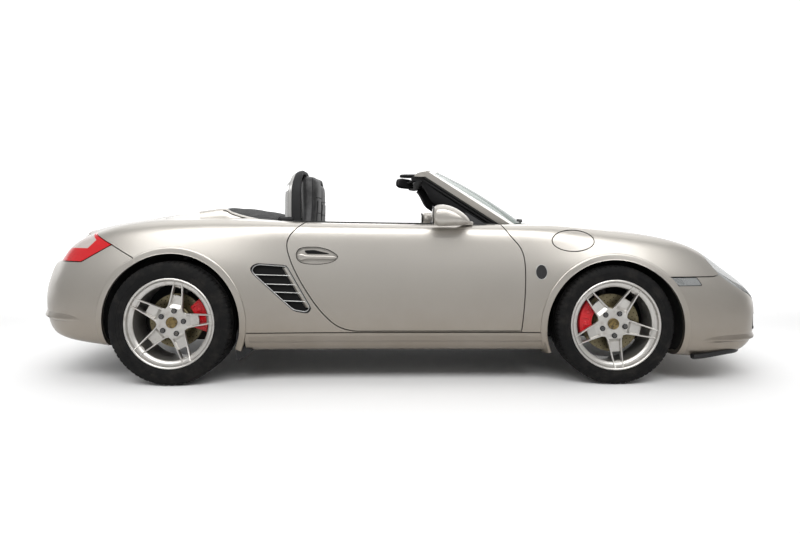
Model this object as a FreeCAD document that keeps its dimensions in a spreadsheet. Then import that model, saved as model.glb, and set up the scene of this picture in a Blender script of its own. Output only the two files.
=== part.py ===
import FreeCAD, Part
import math
import os
import Sketcher

V = FreeCAD.Vector
UP = V(0, 0, 1)
LEFT = V(0, 1, 0)
FORWARD = V(1, 0, 0)
ORIGIN = V(0, 0, 0)

# An open two-seat sports car with the engine behind the seats.
# Frame: X forward, Y to the left, Z up, origin on the ground below the middle of the car.

os.makedirs("parts", exist_ok=True)
doc = FreeCAD.newDocument("Convertible")
sheet = doc.addObject("Spreadsheet::Sheet", "Sizes")

SIZES = {
    # Whole car
    "body_length": 4329,
    "body_width": 1801,
    "deck_height": 975,
    "wheelbase": 2415,
    "rear_overhang": 922,
    "door_setback": 629,
    "door_length": 1295,
    "front_track": 1486,
    "rear_track": 1528,
    # Body panels
    "panel_thickness": 22,
    "panel_gap": 5.5,
    "seat_gap": 0.3,
    "overrun": 400,
    "door_inner_reach": 712,
    "jack_reach": 600,
    "jack_width": 60,
    "jack_length": 90,
    "jack_height": 168,
    "rear_jack_place": -740,
    "front_jack_place": 640,
    "pad_radius": 12,
    "pad_height": 330,
    "rear_pad_setback": 260,
    "front_pad_setback": 160,
    "sill_top": 281,
    "sill_rear": -838,
    "sill_front": 787,
    "sill_inner_reach": 640,
    "cowl_bottom": 700,
    "front_tray_edge": 1480,
    "rear_tray_edge": -2050,
    "tray_reach": 700,
    "opening_bottom": 560,
    "opening_rear": -1200,
    "opening_front": 582,
    "opening_rear_reach": 594,
    "handle_depth": 14,
    "nose_opening_bottom": 275,
    "nose_opening_height": 90,
    "nose_opening_rear": 1930,
    "middle_opening_reach": 320,
    "side_opening_inner": 385,
    "side_opening_outer": 690,
    # Wheel arches
    "front_arch_radius": 373,
    "front_arch_height": 302,
    "rear_arch_radius": 378,
    "rear_arch_height": 333,
    "front_well_reach": 400,
    "rear_well_reach": 560,
    "well_clearance": 28,
    # Tyres and wheels
    "front_tyre_radius": 322.5,
    "rear_tyre_radius": 334.5,
    "front_tyre_width": 235,
    "rear_tyre_width": 265,
    "tyre_shoulder": 22,
    "tyre_bulge": 12,
    "bead_height": 31,
    "front_rim_width": 228,
    "rear_rim_width": 254,
    "rim_lip_radius": 246,
    "rim_barrel_radius": 204,
    "rim_lip_depth": 14,
    "front_wheel_offset": 57,
    "rear_wheel_offset": 43,
    "hub_radius": 84,
    "hub_wall": 12,
    "cap_radius": 36,
    "cap_recess": 12,
    "hub_face_depth": 50,
    "spoke_end_depth": 22,
    "spoke_thickness": 30,
    "window_root": 100,
    "window_root_half": 17,
    "window_end": 196,
    "window_end_half": 62,
    "front_disc_radius": 159,
    "rear_disc_radius": 149.5,
    "disc_thickness": 28,
    "disc_setback": 45,
    "disc_clearance": 10,
    "disc_hat_bore": 70,
    "stub_radius": 46,
    "caliper_wall": 15,
    "caliper_root": 112,
    "caliper_rim_clearance": 22,
    "caliper_mount_root": 56,
    "running_clearance": 5.5,
    "upright_thickness": 46,
    "upright_width": 110,
    "upright_height": 190,
    "kingpin_inset": 75,
    "kingpin_lean": 15.7,
    "strut_radius": 20,
    "rear_strut_inset": 172,
    "arm_width": 70,
    "arm_height": 34,
    "arm_drop": 120,
    "subframe_reach": 350,
    "subframe_length": 230,
    "subframe_height": 70,
    "subframe_bottom": 176,
    "driveshaft_radius": 24,
    "strut_top_gap": 1,
    "front_arm_width": 50,
    "knuckle_inner_inset": 38,
    "ball_radius": 18,
    "transaxle_half": 190,
    "transaxle_top": 440,
    # Cabin and load spaces
    "cabin_floor": 205,
    "cabin_reach": 730,
    "cabin_foot_reach": 590,
    "cabin_foot_height": 360,
    "cabin_front": 740,
    "cabin_wide_front": 640,
    "tub_reach": 704,
    "cabin_rear": -590,
    "cabin_corner": 60,
    "front_trunk_front": 1560,
    "front_trunk_rear": 1010,
    "front_trunk_reach": 330,
    "front_trunk_floor": 260,
    "rear_trunk_front": -1420,
    "rear_trunk_rear": -2010,
    "rear_trunk_reach": 400,
    "rear_trunk_floor": 640,
    "engine_bay_front": -700,
    "engine_bay_rear": -1760,
    "engine_bay_reach": 420,
    "engine_bay_top": 610,
    "roof_well_front": -720,
    "roof_well_rear": -1400,
    "roof_well_floor": 700,
    "roof_well_reach": 570,
    "muffler_bay_rear": -2060,
    "muffler_bay_reach": 380,
    # Windscreen
    "screen_base_front": 813,
    "screen_base_side": 640,
    "screen_base_reach": 690,
    "screen_top_front": 205,
    "screen_top_side": 156,
    "screen_top_reach": 560,
    "screen_rise": 261,
    "screen_corner_rise": 211,
    "screen_belly": 26,
    "screen_root": 60,
    "pillar_share": 0.09,
    "header_share": 0.08,
    "screen_depth": 34,
    "glass_thickness": 6,
    "glass_setback": 3,
    # Seats and cabin fittings
    "seat_offset": 355,
    "driver_setback": 60,
    "cushion_width": 465,
    "cushion_front": 40,
    "cushion_rear": -410,
    "cushion_top": 400,
    "back_thickness": 120,
    "back_top": 1157,
    "back_foot": -400,
    "back_head": -590,
    "back_width": 470,
    "dash_rear": 330,
    "dash_height": 290,
    "dash_reach": 668,
    "dash_round": 50,
    "console_half": 95,
    "console_height": 430,
    "console_rear": -560,
    "console_front": 700,
    "steering_ring": 185,
    "steering_grip": 15,
    "steering_rear": 170,
    "steering_drop": 120,
    "steering_rake": 24,
    "steering_column": 34,
    "steering_hub": 48,
    # Roll-over hoops
    "hoop_inner": 170,
    "hoop_outer": 560,
    "hoop_rise": 223,
    "hoop_place": -660,
    "hoop_radius": 26,
    "hoop_bend": 120,
    # Engine and exhaust
    "engine_length": 415,
    "engine_width": 700,
    "engine_height": 400,
    "engine_bottom": 172,
    "muffler_radius": 105,
    "muffler_width": 700,
    "muffler_place": -1850,
    "muffler_height": 400,
    "tip_radius": 38,
    "tip_spacing": 92,
    "tip_height": 282,
    "tip_end": -2150,
    "tip_wall": 3,
    "tip_bore": 120,
    "tip_clearance": 15,
    # Mirrors and lamps
    "mirror_front": 392,
    "mirror_rear": 172,
    "mirror_inner": 800,
    "mirror_outer": 990,
    "mirror_height": 100,
    "mirror_foot_length": 120,
    "mirror_foot_width": 60,
    "mirror_foot_inset": 30,
    "mirror_foot_drop": 60,
    "mirror_round": 42,
    "mirror_nose_round": 38,
    "mirror_lip": 6,
    "headlamp_place": 1865,
    "headlamp_reach": 632,
    "headlamp_length": 205,
    "headlamp_width": 118,
    "headlamp_turn": -28,
    "headlamp_bottom": 440,
    "lamp_depth": 60,
    "filler_place": 950,
    "filler_half_length": 117,
    "filler_half_height": 58,
}

for row, (name, value) in enumerate(SIZES.items(), 1):
    sheet.set(f"A{row}", name)
    sheet.set(f"B{row}", str(value))
    sheet.setAlias(f"B{row}", name)
doc.recompute()


class Size(float):
    """A length read from the sheet, which keeps the formula that gives it."""

    def __new__(cls, number, text):
        size = float.__new__(cls, number)
        size.text = text
        return size

    def __neg__(self):
        return Size(-float(self), f"(-{self.text})")

    def __add__(self, other):
        return Size(float(self) + float(other), f"({self.text} + {formula(other)})")

    def __radd__(self, other):
        return Size(float(other) + float(self), f"({formula(other)} + {self.text})")

    def __sub__(self, other):
        return Size(float(self) - float(other), f"({self.text} - {formula(other)})")

    def __rsub__(self, other):
        return Size(float(other) - float(self), f"({formula(other)} - {self.text})")

    def __mul__(self, other):
        return Size(float(self) * float(other), f"({self.text} * {formula(other)})")

    __rmul__ = __mul__

    def __truediv__(self, other):
        return Size(float(self) / float(other), f"({self.text} / {formula(other)})")


def formula(number):
    return number.text if isinstance(number, Size) else f"({float(number)!r})"


class Values:
    """The sheet's cells by name."""

    def __getattr__(self, name):
        return Size(getattr(sheet, name), f"Sizes.{name}")


z = Values()

# Places along the car
tail = -(z.body_length / 2)
nose = z.body_length / 2
rear_axle = tail + z.rear_overhang
front_axle = rear_axle + z.wheelbase
door_rear = rear_axle + z.door_setback
door_front = door_rear + z.door_length
half_width = z.body_width / 2
SIDES = {"right": -1, "left": 1}

# Heights that follow the deck
above = z.deck_height + z.overrun
tray_top_share = 0.29
screen_base_share = 0.884
dash_top_share = 0.872
hoop_root_share = 0.812
mirror_bottom_share = 0.908
filler_height_share = 0.799
tray_top = z.deck_height * tray_top_share
screen_base = z.deck_height * screen_base_share
screen_top = z.deck_height + z.screen_rise
screen_corner = z.deck_height + z.screen_corner_rise
dash_top = z.deck_height * dash_top_share
dash_bottom = dash_top - z.dash_height
hoop_top = z.deck_height + z.hoop_rise
mirror_bottom = z.deck_height * mirror_bottom_share
mirror_top = mirror_bottom + z.mirror_height

# Angles in degrees about Y, and the part of a caliper's sweep that its mount takes
wheel_turn = {"front": 4.8, "rear": 24.0}
caliper_start = {"front": -109.0, "rear": 47.0}
caliper_sweep = 62.0
mount_start_share = 0.25
mount_sweep_share = 0.5

pieces = {}


def add(label, shape):
    """A sub-part whose shape is worked out here from the sheet."""
    piece = doc.addObject("Part::Feature", label)
    piece.Label = label
    piece.Shape = shape
    pieces[label] = piece
    return piece


def bind(item, **sizes):
    """Ties each property of an object to the formula of a size."""
    for name, size in sizes.items():
        item.setExpression(name.replace("_", "."), formula(size))


def box_object(label, low, high):
    """A box between two corners, bound to the sheet."""
    item = doc.addObject("Part::Box", label)
    item.Label = label
    bind(item, Length=high[0] - low[0], Width=high[1] - low[1], Height=high[2] - low[2])
    bind(item, Placement_Base_x=low[0], Placement_Base_y=low[1], Placement_Base_z=low[2])
    return item


def box(x0, x1, y0, y1, z0, z1):
    """A plain cutting box between two corners."""
    low = V(min(x0, x1), min(y0, y1), min(z0, z1))
    return Part.makeBox(abs(x1 - x0), abs(y1 - y0), abs(z1 - z0), low)


def mirrored(shape):
    return shape.mirror(ORIGIN, LEFT)


def on_side(shape, side):
    """A shape made for the left side, put on the side asked for."""
    return shape if side == "left" else mirrored(shape)


def origin_plane(body, role):
    return next(item for item in body.Origin.OriginFeatures if item.Role == role)


def sketch_on(body, name, role, points):
    """A closed outline of straight lines whose corners are bound to the sheet."""
    sketch = body.newObject("Sketcher::SketchObject", name)
    sketch.AttachmentSupport = (origin_plane(body, role), [""])
    sketch.MapMode = "FlatFace"
    corners = [V(float(u), float(v), 0) for u, v in points]
    count = len(corners)
    for index in range(count):
        sketch.addGeometry(Part.LineSegment(corners[index], corners[(index + 1) % count]), False)
    for index in range(count):
        sketch.addConstraint(Sketcher.Constraint("Coincident", index, 2, (index + 1) % count, 1))
    for index, (u, v) in enumerate(points):
        across = sketch.addConstraint(
            Sketcher.Constraint("DistanceX", -1, 1, index, 1, corners[index].x)
        )
        sketch.setExpression(f"Constraints[{across}]", formula(u))
        along = sketch.addConstraint(
            Sketcher.Constraint("DistanceY", -1, 1, index, 1, corners[index].y)
        )
        sketch.setExpression(f"Constraints[{along}]", formula(v))
    return sketch


def padded_body(label, role, points, length):
    """A body padded both ways from one of its own planes."""
    body = doc.addObject("PartDesign::Body", label)
    body.Label = label
    sketch = sketch_on(body, label + "_outline", role, points)
    pad = body.newObject("PartDesign::Pad", label + "_pad")
    pad.Profile = sketch
    pad.Midplane = True
    pad.setExpression("Length", formula(length))
    return body


# Outer body: rings of points along the car, carried over by one smooth surface.
# A station counts the marks: 0 tail, 1 rear axle, 2 door's rear, 3 door's front, 4 front axle, 5 nose.
MARKS = [tail, rear_axle, door_rear, door_front, front_axle, nose]
ring_station_shares = [
    0, 0.012, 0.04, 0.08, 0.12, 0.15, 0.185, 0.225, 0.27, 0.33, 0.41, 0.52, 0.67, 0.84, 1, 1.25,
    1.5, 1.75, 2, 2.2, 2.4, 2.6, 2.8, 3, 3.33, 3.67, 4, 4.17, 4.33, 4.5, 4.63, 4.74, 4.81, 4.86,
    4.91, 4.95, 4.98, 4.995, 5,
]
# Half width of the car, as shares of half the body's width
plan_shares = [
    (0, 0.21), (0.02, 0.42), (0.075, 0.585), (0.145, 0.715), (0.215, 0.803), (0.33, 0.887),
    (0.5, 0.94), (0.75, 0.983), (1, 1), (1.5, 0.992), (2, 0.968), (2.5, 0.952), (3, 0.951),
    (3.5, 0.962), (4, 0.977), (4.33, 0.964), (4.5, 0.944), (4.65, 0.907), (4.74, 0.867),
    (4.8, 0.823), (4.84, 0.772), (4.885, 0.69), (4.93, 0.58), (4.965, 0.46), (4.99, 0.33),
    (5, 0.2),
]
# Heights, as shares of the deck's height: middle line, fender tops, widest line and underside
middle_shares = [
    (0, 0.574), (0.015, 0.656), (0.05, 0.749), (0.11, 0.836), (0.2, 0.867), (0.33, 0.894),
    (0.5, 0.918), (0.67, 0.94), (0.84, 0.967), (1, 0.99), (1.25, 1), (1.5, 0.985), (2, 0.923),
    (2.5, 0.913), (3, 0.908), (3.3, 0.896), (3.67, 0.87), (4, 0.84), (4.17, 0.806),
    (4.33, 0.768), (4.5, 0.723), (4.65, 0.669), (4.78, 0.615), (4.88, 0.564), (4.945, 0.518),
    (4.985, 0.474), (5, 0.451),
]
fender_shares = [
    (0, 0.56), (0.05, 0.62), (0.1, 0.66), (0.15, 0.679), (0.19, 0.685), (0.224, 0.692),
    (0.27, 0.738), (0.319, 0.785), (0.4, 0.823), (0.477, 0.849), (0.606, 0.884), (0.75, 0.91),
    (1, 0.925), (1.25, 0.928), (1.5, 0.925), (2, 0.905), (2.5, 0.894), (3, 0.89), (3.3, 0.894),
    (3.67, 0.879), (4, 0.863), (4.17, 0.843), (4.33, 0.815), (4.5, 0.764), (4.65, 0.651),
    (4.74, 0.597), (4.81, 0.554), (4.86, 0.525), (4.93, 0.492), (4.985, 0.455), (5, 0.44),
]
widest_shares = [
    (0, 0.482), (0.2, 0.533), (0.5, 0.585), (1, 0.615), (2, 0.605), (3, 0.605), (4, 0.595),
    (4.5, 0.554), (4.78, 0.482), (5, 0.421),
]
underside_shares = [
    (0, 0.43), (0.04, 0.39), (0.08, 0.36), (0.135, 0.33), (0.165, 0.296), (0.21, 0.258),
    (0.32, 0.228), (0.5, 0.205), (1, 0.174), (4, 0.169), (4.3, 0.15), (4.45, 0.13),
    (4.6, 0.126), (4.68, 0.137), (4.75, 0.158), (4.81, 0.186), (4.85, 0.212), (4.9, 0.235),
    (4.95, 0.26), (4.985, 0.315), (5, 0.37),
]
# How far out the fender's top lies, as shares of the half width there
fender_reach_shares = [
    (0, 0.5), (0.11, 0.62), (0.5, 0.76), (1, 0.78), (1.5, 0.82), (2, 0.93), (2.5, 0.935),
    (3, 0.9), (3.67, 0.78), (4, 0.75), (4.5, 0.74), (4.78, 0.66), (5, 0.5),
]


def along(station):
    """The place on X of a station between two marks, or past the tail or nose."""
    index = max(0, min(int(station), len(MARKS) - 2))
    return MARKS[index] + (MARKS[index + 1] - MARKS[index]) * (station - index)


def smooth(points, place):
    """A curve through the points that doesn't overshoot between them."""
    places = [point[0] for point in points]
    values = [point[1] for point in points]
    last = len(points) - 2
    rises = [(values[i + 1] - values[i]) / (places[i + 1] - places[i]) for i in range(last + 1)]
    index = max(i for i in range(last + 1) if places[i] <= place)
    slopes = []
    for i in (index, index + 1):
        if i == 0 or i == last + 1:
            slopes.append(rises[min(i, last)])
        elif rises[i - 1] * rises[i] <= 0:
            slopes.append(0)
        else:
            slopes.append(2 * rises[i - 1] * rises[i] / (rises[i - 1] + rises[i]))
    step = places[index + 1] - places[index]
    t = (place - places[index]) / step
    return (
        (2 * t**3 - 3 * t**2 + 1) * values[index]
        + (t**3 - 2 * t**2 + t) * step * slopes[0]
        + (3 * t**2 - 2 * t**3) * values[index + 1]
        + (t**3 - t**2) * step * slopes[1]
    )


# Places round half a ring, as shares of the reach across and of the height between two lines
under_shares = (0.5, 0.88)
rocker_reach_share = 0.975
rocker_height_share = 0.05
flank_height_share = 0.45
shoulder_reach_share = 0.25
shoulder_height_share = 0.55
crest_outer_share = 0.55
crest_inner_share = 0.93
valley_reach_share = 0.62
valley_height_share = 0.45
deck_reach_share = 0.3


def ring(station, inset):
    """The body's outline across one station, pulled in by an inset."""
    place = float(along(station)) * (1 - inset / nose)
    reach = smooth(plan_shares, station) * half_width - inset
    middle = smooth(middle_shares, station) * z.deck_height - inset
    fender = smooth(fender_shares, station) * z.deck_height - inset
    widest = smooth(widest_shares, station) * z.deck_height
    under = smooth(underside_shares, station) * z.deck_height + inset
    top_reach = smooth(fender_reach_shares, station) * reach
    flank = widest - under
    shoulder = reach - top_reach
    half = [(0, under)]
    half += [(share * reach, under) for share in under_shares]
    half += [
        (rocker_reach_share * reach, under + rocker_height_share * flank),
        (reach, under + flank_height_share * flank),
        (reach, widest),
        (reach - shoulder_reach_share * shoulder, widest + shoulder_height_share * (fender - widest)),
        (top_reach + crest_outer_share * shoulder, fender),
        (crest_inner_share * top_reach, fender),
        (valley_reach_share * top_reach, middle + valley_height_share * (fender - middle)),
        (deck_reach_share * top_reach, middle),
        (0, middle),
    ]
    right = [V(place, -across, height) for across, height in half]
    left = [V(place, across, height) for across, height in reversed(half[1:-1])]
    return right + left


def body_solid(inset):
    """The closed body, pulled in all round by an inset."""
    rings = [ring(station, inset) for station in ring_station_shares]
    rows, columns = len(rings), len(rings[0])
    surface = Part.BSplineSurface()
    surface.buildFromPolesMultsKnots(
        rings,
        [4] + [1] * (rows - 4) + [4],
        [1] * (columns + 1),
        [float(knot) for knot in range(rows - 2)],
        [float(knot) for knot in range(columns + 1)],
        False,
        True,
        3,
        3,
    )
    skin = surface.toShape()
    caps = [Part.Face(Part.Wire([edge])) for edge in skin.Edges if edge.isClosed()]
    return closed_solid([skin] + caps)


def closed_solid(faces):
    """The solid that a closed set of faces holds."""
    joined = Part.makeCompound(faces)
    joined.sewShape()
    solid = Part.Solid(joined.Shells[0])
    if solid.Volume < 0:
        solid.reverse()
    return solid


def spline(points):
    curve = Part.BSplineCurve()
    curve.interpolate(points)
    return curve.toShape()


def grown(points, distance):
    """A closed outline's points, each moved outwards by a distance measured square to its sides."""
    count = len(points)
    area = sum(points[i - 1].x * points[i].y - points[i].x * points[i - 1].y for i in range(count))
    turn = 1 if area > 0 else -1
    moved = []
    for index, point in enumerate(points):
        before = (point - points[index - 1]).normalize()
        after = (points[(index + 1) % count] - point).normalize()
        first = V(before.y, -before.x, 0) * turn
        second = V(after.y, -after.x, 0) * turn
        moved.append(point + (first + second) * (distance / (1 + first.dot(second))))
    return moved


def outline_face(runs, distance=0.0):
    """A flat face whose outline is smooth along each run of points and straight between runs."""
    points = grown([point for run in runs for point in run], distance)
    edges = []
    start = 0
    for run in runs:
        stretch = points[start:start + len(run)]
        start += len(run)
        if len(stretch) > 1:
            edges.append(spline(stretch))
        edges.append(Part.LineSegment(stretch[-1], points[start % len(points)]).toShape())
    return Part.Face(Part.Wire(edges))


def loop_face(points, distance=0.0):
    """A flat face with one smooth closed outline."""
    curve = Part.BSplineCurve()
    curve.interpolate(Points=grown(points, distance), PeriodicFlag=True)
    return Part.Face(Part.Wire([curve.toShape()]))


def across(face):
    """A side-view face run across the whole car. Its second coordinate becomes the height."""
    face.rotate(ORIGIN, FORWARD, 90)
    face.translate(LEFT * -(half_width + z.overrun))
    return face.extrude(LEFT * (z.body_width + 2 * z.overrun))


def upwards(face, bottom):
    """A plan-view face run upwards from a height."""
    face.translate(UP * bottom)
    return face.extrude(UP * above)


def side_points(shares):
    """Points of the side view, from stations and shares of the deck's height."""
    return [V(along(station), z.deck_height * share, 0) for station, share in shares]


def plan_points(shares):
    """A plan-view loop, from stations and shares of the half width along the left side."""
    left = [V(along(station), half_width * share, 0) for station, share in shares]
    right = [V(point.x, -point.y, 0) for point in reversed(left) if point.y > 0]
    return left + right


def solids_of(shape):
    return sorted(shape.Solids, key=lambda solid: -solid.Volume)


def largest(shape):
    return solids_of(shape)[0]


gap = z.panel_gap / 2
outer = body_solid(0.0)
inner = body_solid(float(z.panel_thickness))
core = body_solid(float(z.panel_thickness + z.seat_gap))
skin = outer.cut(inner)


# Shut lines. Side-view outlines are runs of (station, share of the deck's height).
door_line_shares = [
    [
        (2.12, 1.1), (2.0737, 0.905), (2.0084, 0.8205), (2.0, 0.785), (2.0066, 0.726),
        (2.0293, 0.648), (2.08, 0.526), (2.1257, 0.4366), (2.17, 0.37), (2.2157, 0.323),
        (2.2515, 0.305), (2.306, 0.2964),
    ],
    [
        (2.9838, 0.2964), (2.994, 0.4256), (3.0, 0.5815), (3.0, 0.6427), (2.994, 0.715),
        (2.979, 0.765), (2.955, 0.804), (2.9135, 0.874), (2.82, 1.1),
    ],
]


def door_prism(distance=0.0):
    return across(outline_face([side_points(run) for run in door_line_shares], distance))


def arch_cutter(axle, height, radius, inner_reach, grow=0.0):
    """The two round wheel openings of one axle, each from its inner wall outwards."""
    length = half_width + z.overrun - inner_reach
    left = Part.makeCylinder(radius + grow, length, V(axle, inner_reach, height), LEFT)
    return left.fuse(mirrored(left))


front_arches = arch_cutter(front_axle, z.front_arch_height, z.front_arch_radius, z.front_well_reach)
rear_arches = arch_cutter(rear_axle, z.rear_arch_height, z.rear_arch_radius, z.rear_well_reach)
front_wells = arch_cutter(
    front_axle, z.front_arch_height, z.front_arch_radius, z.front_well_reach, z.well_clearance
)
rear_wells = arch_cutter(
    rear_axle, z.rear_arch_height, z.rear_arch_radius, z.rear_well_reach, z.well_clearance
)

# Plan-view outlines of the lids along the left side: station and share of the half width
front_lid_shares = [
    (4.8, 0.0), (4.797, 0.14), (4.785, 0.28), (4.755, 0.42), (4.69, 0.52), (4.58, 0.58),
    (4.4, 0.622), (4.15, 0.648), (3.9, 0.665), (3.68, 0.677), (3.48, 0.684), (3.34, 0.665),
    (3.285, 0.6), (3.275, 0.48), (3.285, 0.34), (3.3, 0.17), (3.31, 0.0),
]
rear_lid_shares = [
    (0.83, 0.0), (0.828, 0.16), (0.82, 0.32), (0.804, 0.46), (0.775, 0.57), (0.71, 0.635),
    (0.6, 0.65), (0.45, 0.642), (0.3, 0.622), (0.15, 0.597), (0.02, 0.565), (-0.08, 0.49),
    (-0.13, 0.36), (-0.14, 0.18), (-0.14, 0.0),
]
roof_lid_shares = [
    (1.15, 0.0), (1.152, 0.14), (1.158, 0.28), (1.166, 0.42), (1.168, 0.55), (1.15, 0.645),
    (1.1, 0.69), (1.02, 0.7), (0.94, 0.697), (0.885, 0.675), (0.858, 0.62), (0.855, 0.52),
    (0.861, 0.4), (0.868, 0.27), (0.873, 0.13), (0.875, 0.0),
]
cowl_shares = [
    (3.36, 0.0), (3.36, 0.17), (3.355, 0.34), (3.345, 0.5), (3.32, 0.62), (3.26, 0.71),
    (3.17, 0.75), (3.07, 0.762), (2.99, 0.745), (2.95, 0.66), (2.94, 0.5), (2.94, 0.33),
    (2.94, 0.16), (2.94, 0.0),
]
# Each lid's outline and the share of the deck's height that it reaches down to
lid_shares = {
    "front_lid": (front_lid_shares, 0.5),
    "rear_lid": (rear_lid_shares, 0.715),
    "roof_lid": (roof_lid_shares, 0.7),
}


def lid_prism(label, distance=0.0):
    shares, bottom_share = lid_shares[label]
    bottom = z.deck_height * bottom_share
    return upwards(loop_face(plan_points(shares), distance), bottom - distance)


def cowl_prism(distance=0.0):
    """The panel between the front lid and the windscreen."""
    column = upwards(loop_face(plan_points(cowl_shares), distance), z.cowl_bottom)
    return column.cut(lid_prism("front_lid", z.panel_gap - distance))


def headlamp_prism(distance=0.0):
    """The two slanted oval columns that the headlamps fill."""
    length = z.headlamp_length + distance
    width = z.headlamp_width + distance
    face = Part.Face(Part.Wire([Part.Ellipse(ORIGIN, length, width).toShape()]))
    face.rotate(ORIGIN, UP, float(z.headlamp_turn))
    face.translate(V(z.headlamp_place, z.headlamp_reach, 0))
    column = upwards(face, z.headlamp_bottom)
    return column.fuse(mirrored(column))


tail_lamp_shares = [(0.63, 0.777), (0.44, 0.68), (-0.3, 0.68), (-0.3, 0.86), (0.45, 0.86)]
tail_lamp_inner_share = 0.56


def corner_prism(shares, distance=0.0):
    """A straight-sided side-view outline, run across the whole car."""
    return across(outline_face([[point] for point in side_points(shares)], distance))


def tail_lamp_prism(distance=0.0):
    reach = half_width * tail_lamp_inner_share - distance
    middle = box(tail - z.overrun, rear_axle, -reach, reach, 0, z.deck_height)
    return corner_prism(tail_lamp_shares, distance).cut(middle)


def filler_prism(distance=0.0):
    length = z.filler_half_length + distance
    height = z.filler_half_height + distance
    face = Part.Face(Part.Wire([Part.Ellipse(ORIGIN, length, height).toShape()]))
    face.translate(V(z.filler_place, z.deck_height * filler_height_share, 0))
    whole = across(face)
    return whole.common(box(tail, nose, -(half_width + z.overrun), 0, 0, z.deck_height))


# Side-view areas of the panels
front_bumper_shares = [
    (4.0, 0.1), (4.0, 0.597), (4.56, 0.597), (4.63, 0.61), (4.7, 0.68), (4.7, 1.2), (5.4, 1.2),
    (5.4, 0.1),
]
rear_bumper_shares = [
    (1.0, 0.1), (1.0, 0.62), (0.823, 0.6816), (0.63, 0.777), (0.44, 0.715), (-0.4, 0.715),
    (-0.4, 0.1),
]
intake_shares = [
    (1.69, 0.65), (1.738, 0.675), (2.0, 0.663), (2.1038, 0.4236), (2.089, 0.398), (2.031, 0.411),
    (1.703, 0.626),
]


# The hand's recess behind each door handle, round at the rear and pointed at the front
handle_shares = [
    (2.2145, 0.7128), (2.2022, 0.7287), (2.1709, 0.7518), (2.1291, 0.7641), (2.0838, 0.7646),
    (2.0545, 0.7579), (2.0413, 0.7385), (2.0398, 0.7164), (2.046, 0.6933), (2.0645, 0.6769),
    (2.0978, 0.6708), (2.1396, 0.6697), (2.1834, 0.679), (2.2074, 0.6954),
]


def handle_recess():
    """The shallow hollows in the doors, cut down to a second surface below the skin."""
    shallow = outer.cut(body_solid(float(z.handle_depth)))
    return shallow.common(across(loop_face(side_points(handle_shares))))


def intake_cutter():
    """The air intake ahead of each rear wheel."""
    return across(outline_face([[point] for point in side_points(intake_shares)]))


def nose_openings():
    """The three air openings of the front bumper, which reach into the tub behind it."""
    spans = [
        (-z.middle_opening_reach, z.middle_opening_reach),
        (z.side_opening_inner, z.side_opening_outer),
        (-z.side_opening_outer, -z.side_opening_inner),
    ]
    low = z.nose_opening_bottom
    high = low + z.nose_opening_height
    return [box(z.nose_opening_rear, nose, first, last, low, high) for first, last in spans]


def exhaust_notch():
    top = z.tip_height + z.tip_radius + z.tip_clearance
    return box(tail - z.overrun, tail + z.overrun, -z.tip_spacing, z.tip_spacing, 0, top)


def cabin_opening():
    """The open top of the cabin, from the folded roof to the windscreen's foot."""
    points = [
        V(z.opening_rear, z.opening_rear_reach, 0),
        V(door_rear, z.door_inner_reach, 0),
        V(z.opening_front, z.door_inner_reach, 0),
        V(z.screen_base_side, z.screen_base_reach, 0),
    ]
    right = [V(point.x, -point.y, 0) for point in reversed(points)]
    face = outline_face([[point] for point in points + right])
    return upwards(face, z.opening_bottom)


def build_panels():
    """The skin's panels, each cut out of the body's shell along its shut lines."""
    wide = half_width + z.overrun
    middle = (door_rear + door_front) / 2
    lids = [lid_prism(label, gap) for label in lid_shares]
    lamps = [headlamp_prism(gap), tail_lamp_prism(gap)]
    arches = [front_arches, rear_arches]
    doors = door_prism(gap)
    recess = handle_recess()
    openings = lids + lamps + arches + [doors, cabin_opening(), cowl_prism(gap)]

    front = skin.common(corner_prism(front_bumper_shares, -gap)).cut(lids + lamps + arches)
    tray = box(front_axle, z.front_tray_edge, -z.tray_reach, z.tray_reach, 0, tray_top)
    add("front_bumper", largest(front.cut([tray] + nose_openings())))
    rear = skin.common(corner_prism(rear_bumper_shares, -gap)).cut(lids + lamps + arches)
    tray = box(rear_axle, z.rear_tray_edge, -z.tray_reach, z.tray_reach, 0, tray_top)
    add("rear_bumper", largest(rear.cut([exhaust_notch(), tray])))
    front_cut = corner_prism(front_bumper_shares, gap)
    rear_cut = corner_prism(rear_bumper_shares, gap)
    for side in SIDES:
        area = on_side(box(middle, nose, 0, wide, z.sill_top + gap, above), side)
        fender = skin.common(area).cut(openings + [front_cut])
        if side == "right":
            fender = fender.cut(filler_prism(gap))
        add(f"{side}_front_fender", largest(fender))
        area = on_side(box(tail, middle, 0, wide, z.sill_top + gap, above), side)
        quarter = skin.common(area).cut(openings + [rear_cut, intake_cutter()])
        add(f"{side}_rear_quarter", largest(quarter))
        area = box(z.sill_rear, z.sill_front, z.sill_inner_reach, wide, 0, z.sill_top - gap)
        area = on_side(area, side)
        add(f"{side}_sill", largest(skin.common(area).cut(arches + [doors])))
        area = on_side(box(tail, nose, z.door_inner_reach, wide, 0, above), side)
        add(f"{side}_door", largest(outer.common(door_prism(-gap)).common(area).cut(recess)))
    for label in lid_shares:
        add(label, largest(skin.common(lid_prism(label, -gap)).cut(lamps)))
    add("filler_lid", largest(skin.common(filler_prism(-gap))))
    add("cowl", largest(skin.common(cowl_prism(-gap)).cut(cabin_opening())))
    deep = outer.cut(body_solid(float(z.lamp_depth)))
    lamp = deep.common(headlamp_prism(-gap)).cut(lids[0])
    add("headlamps", Part.makeCompound(solids_of(lamp)[:2]))
    lamp = deep.common(tail_lamp_prism(-gap)).cut(lids[1])
    add("tail_lamps", Part.makeCompound(solids_of(lamp)[:2]))


def rounded_box(x0, x1, y0, y1, z0, z1, radius):
    """A cutting box with round upright edges."""
    block = box(x0, x1, y0, y1, z0, z1)
    upright = [edge for edge in block.Edges if abs(edge.tangentAt(edge.FirstParameter).z) > 0.5]
    return block.makeFillet(radius, upright)


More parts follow.
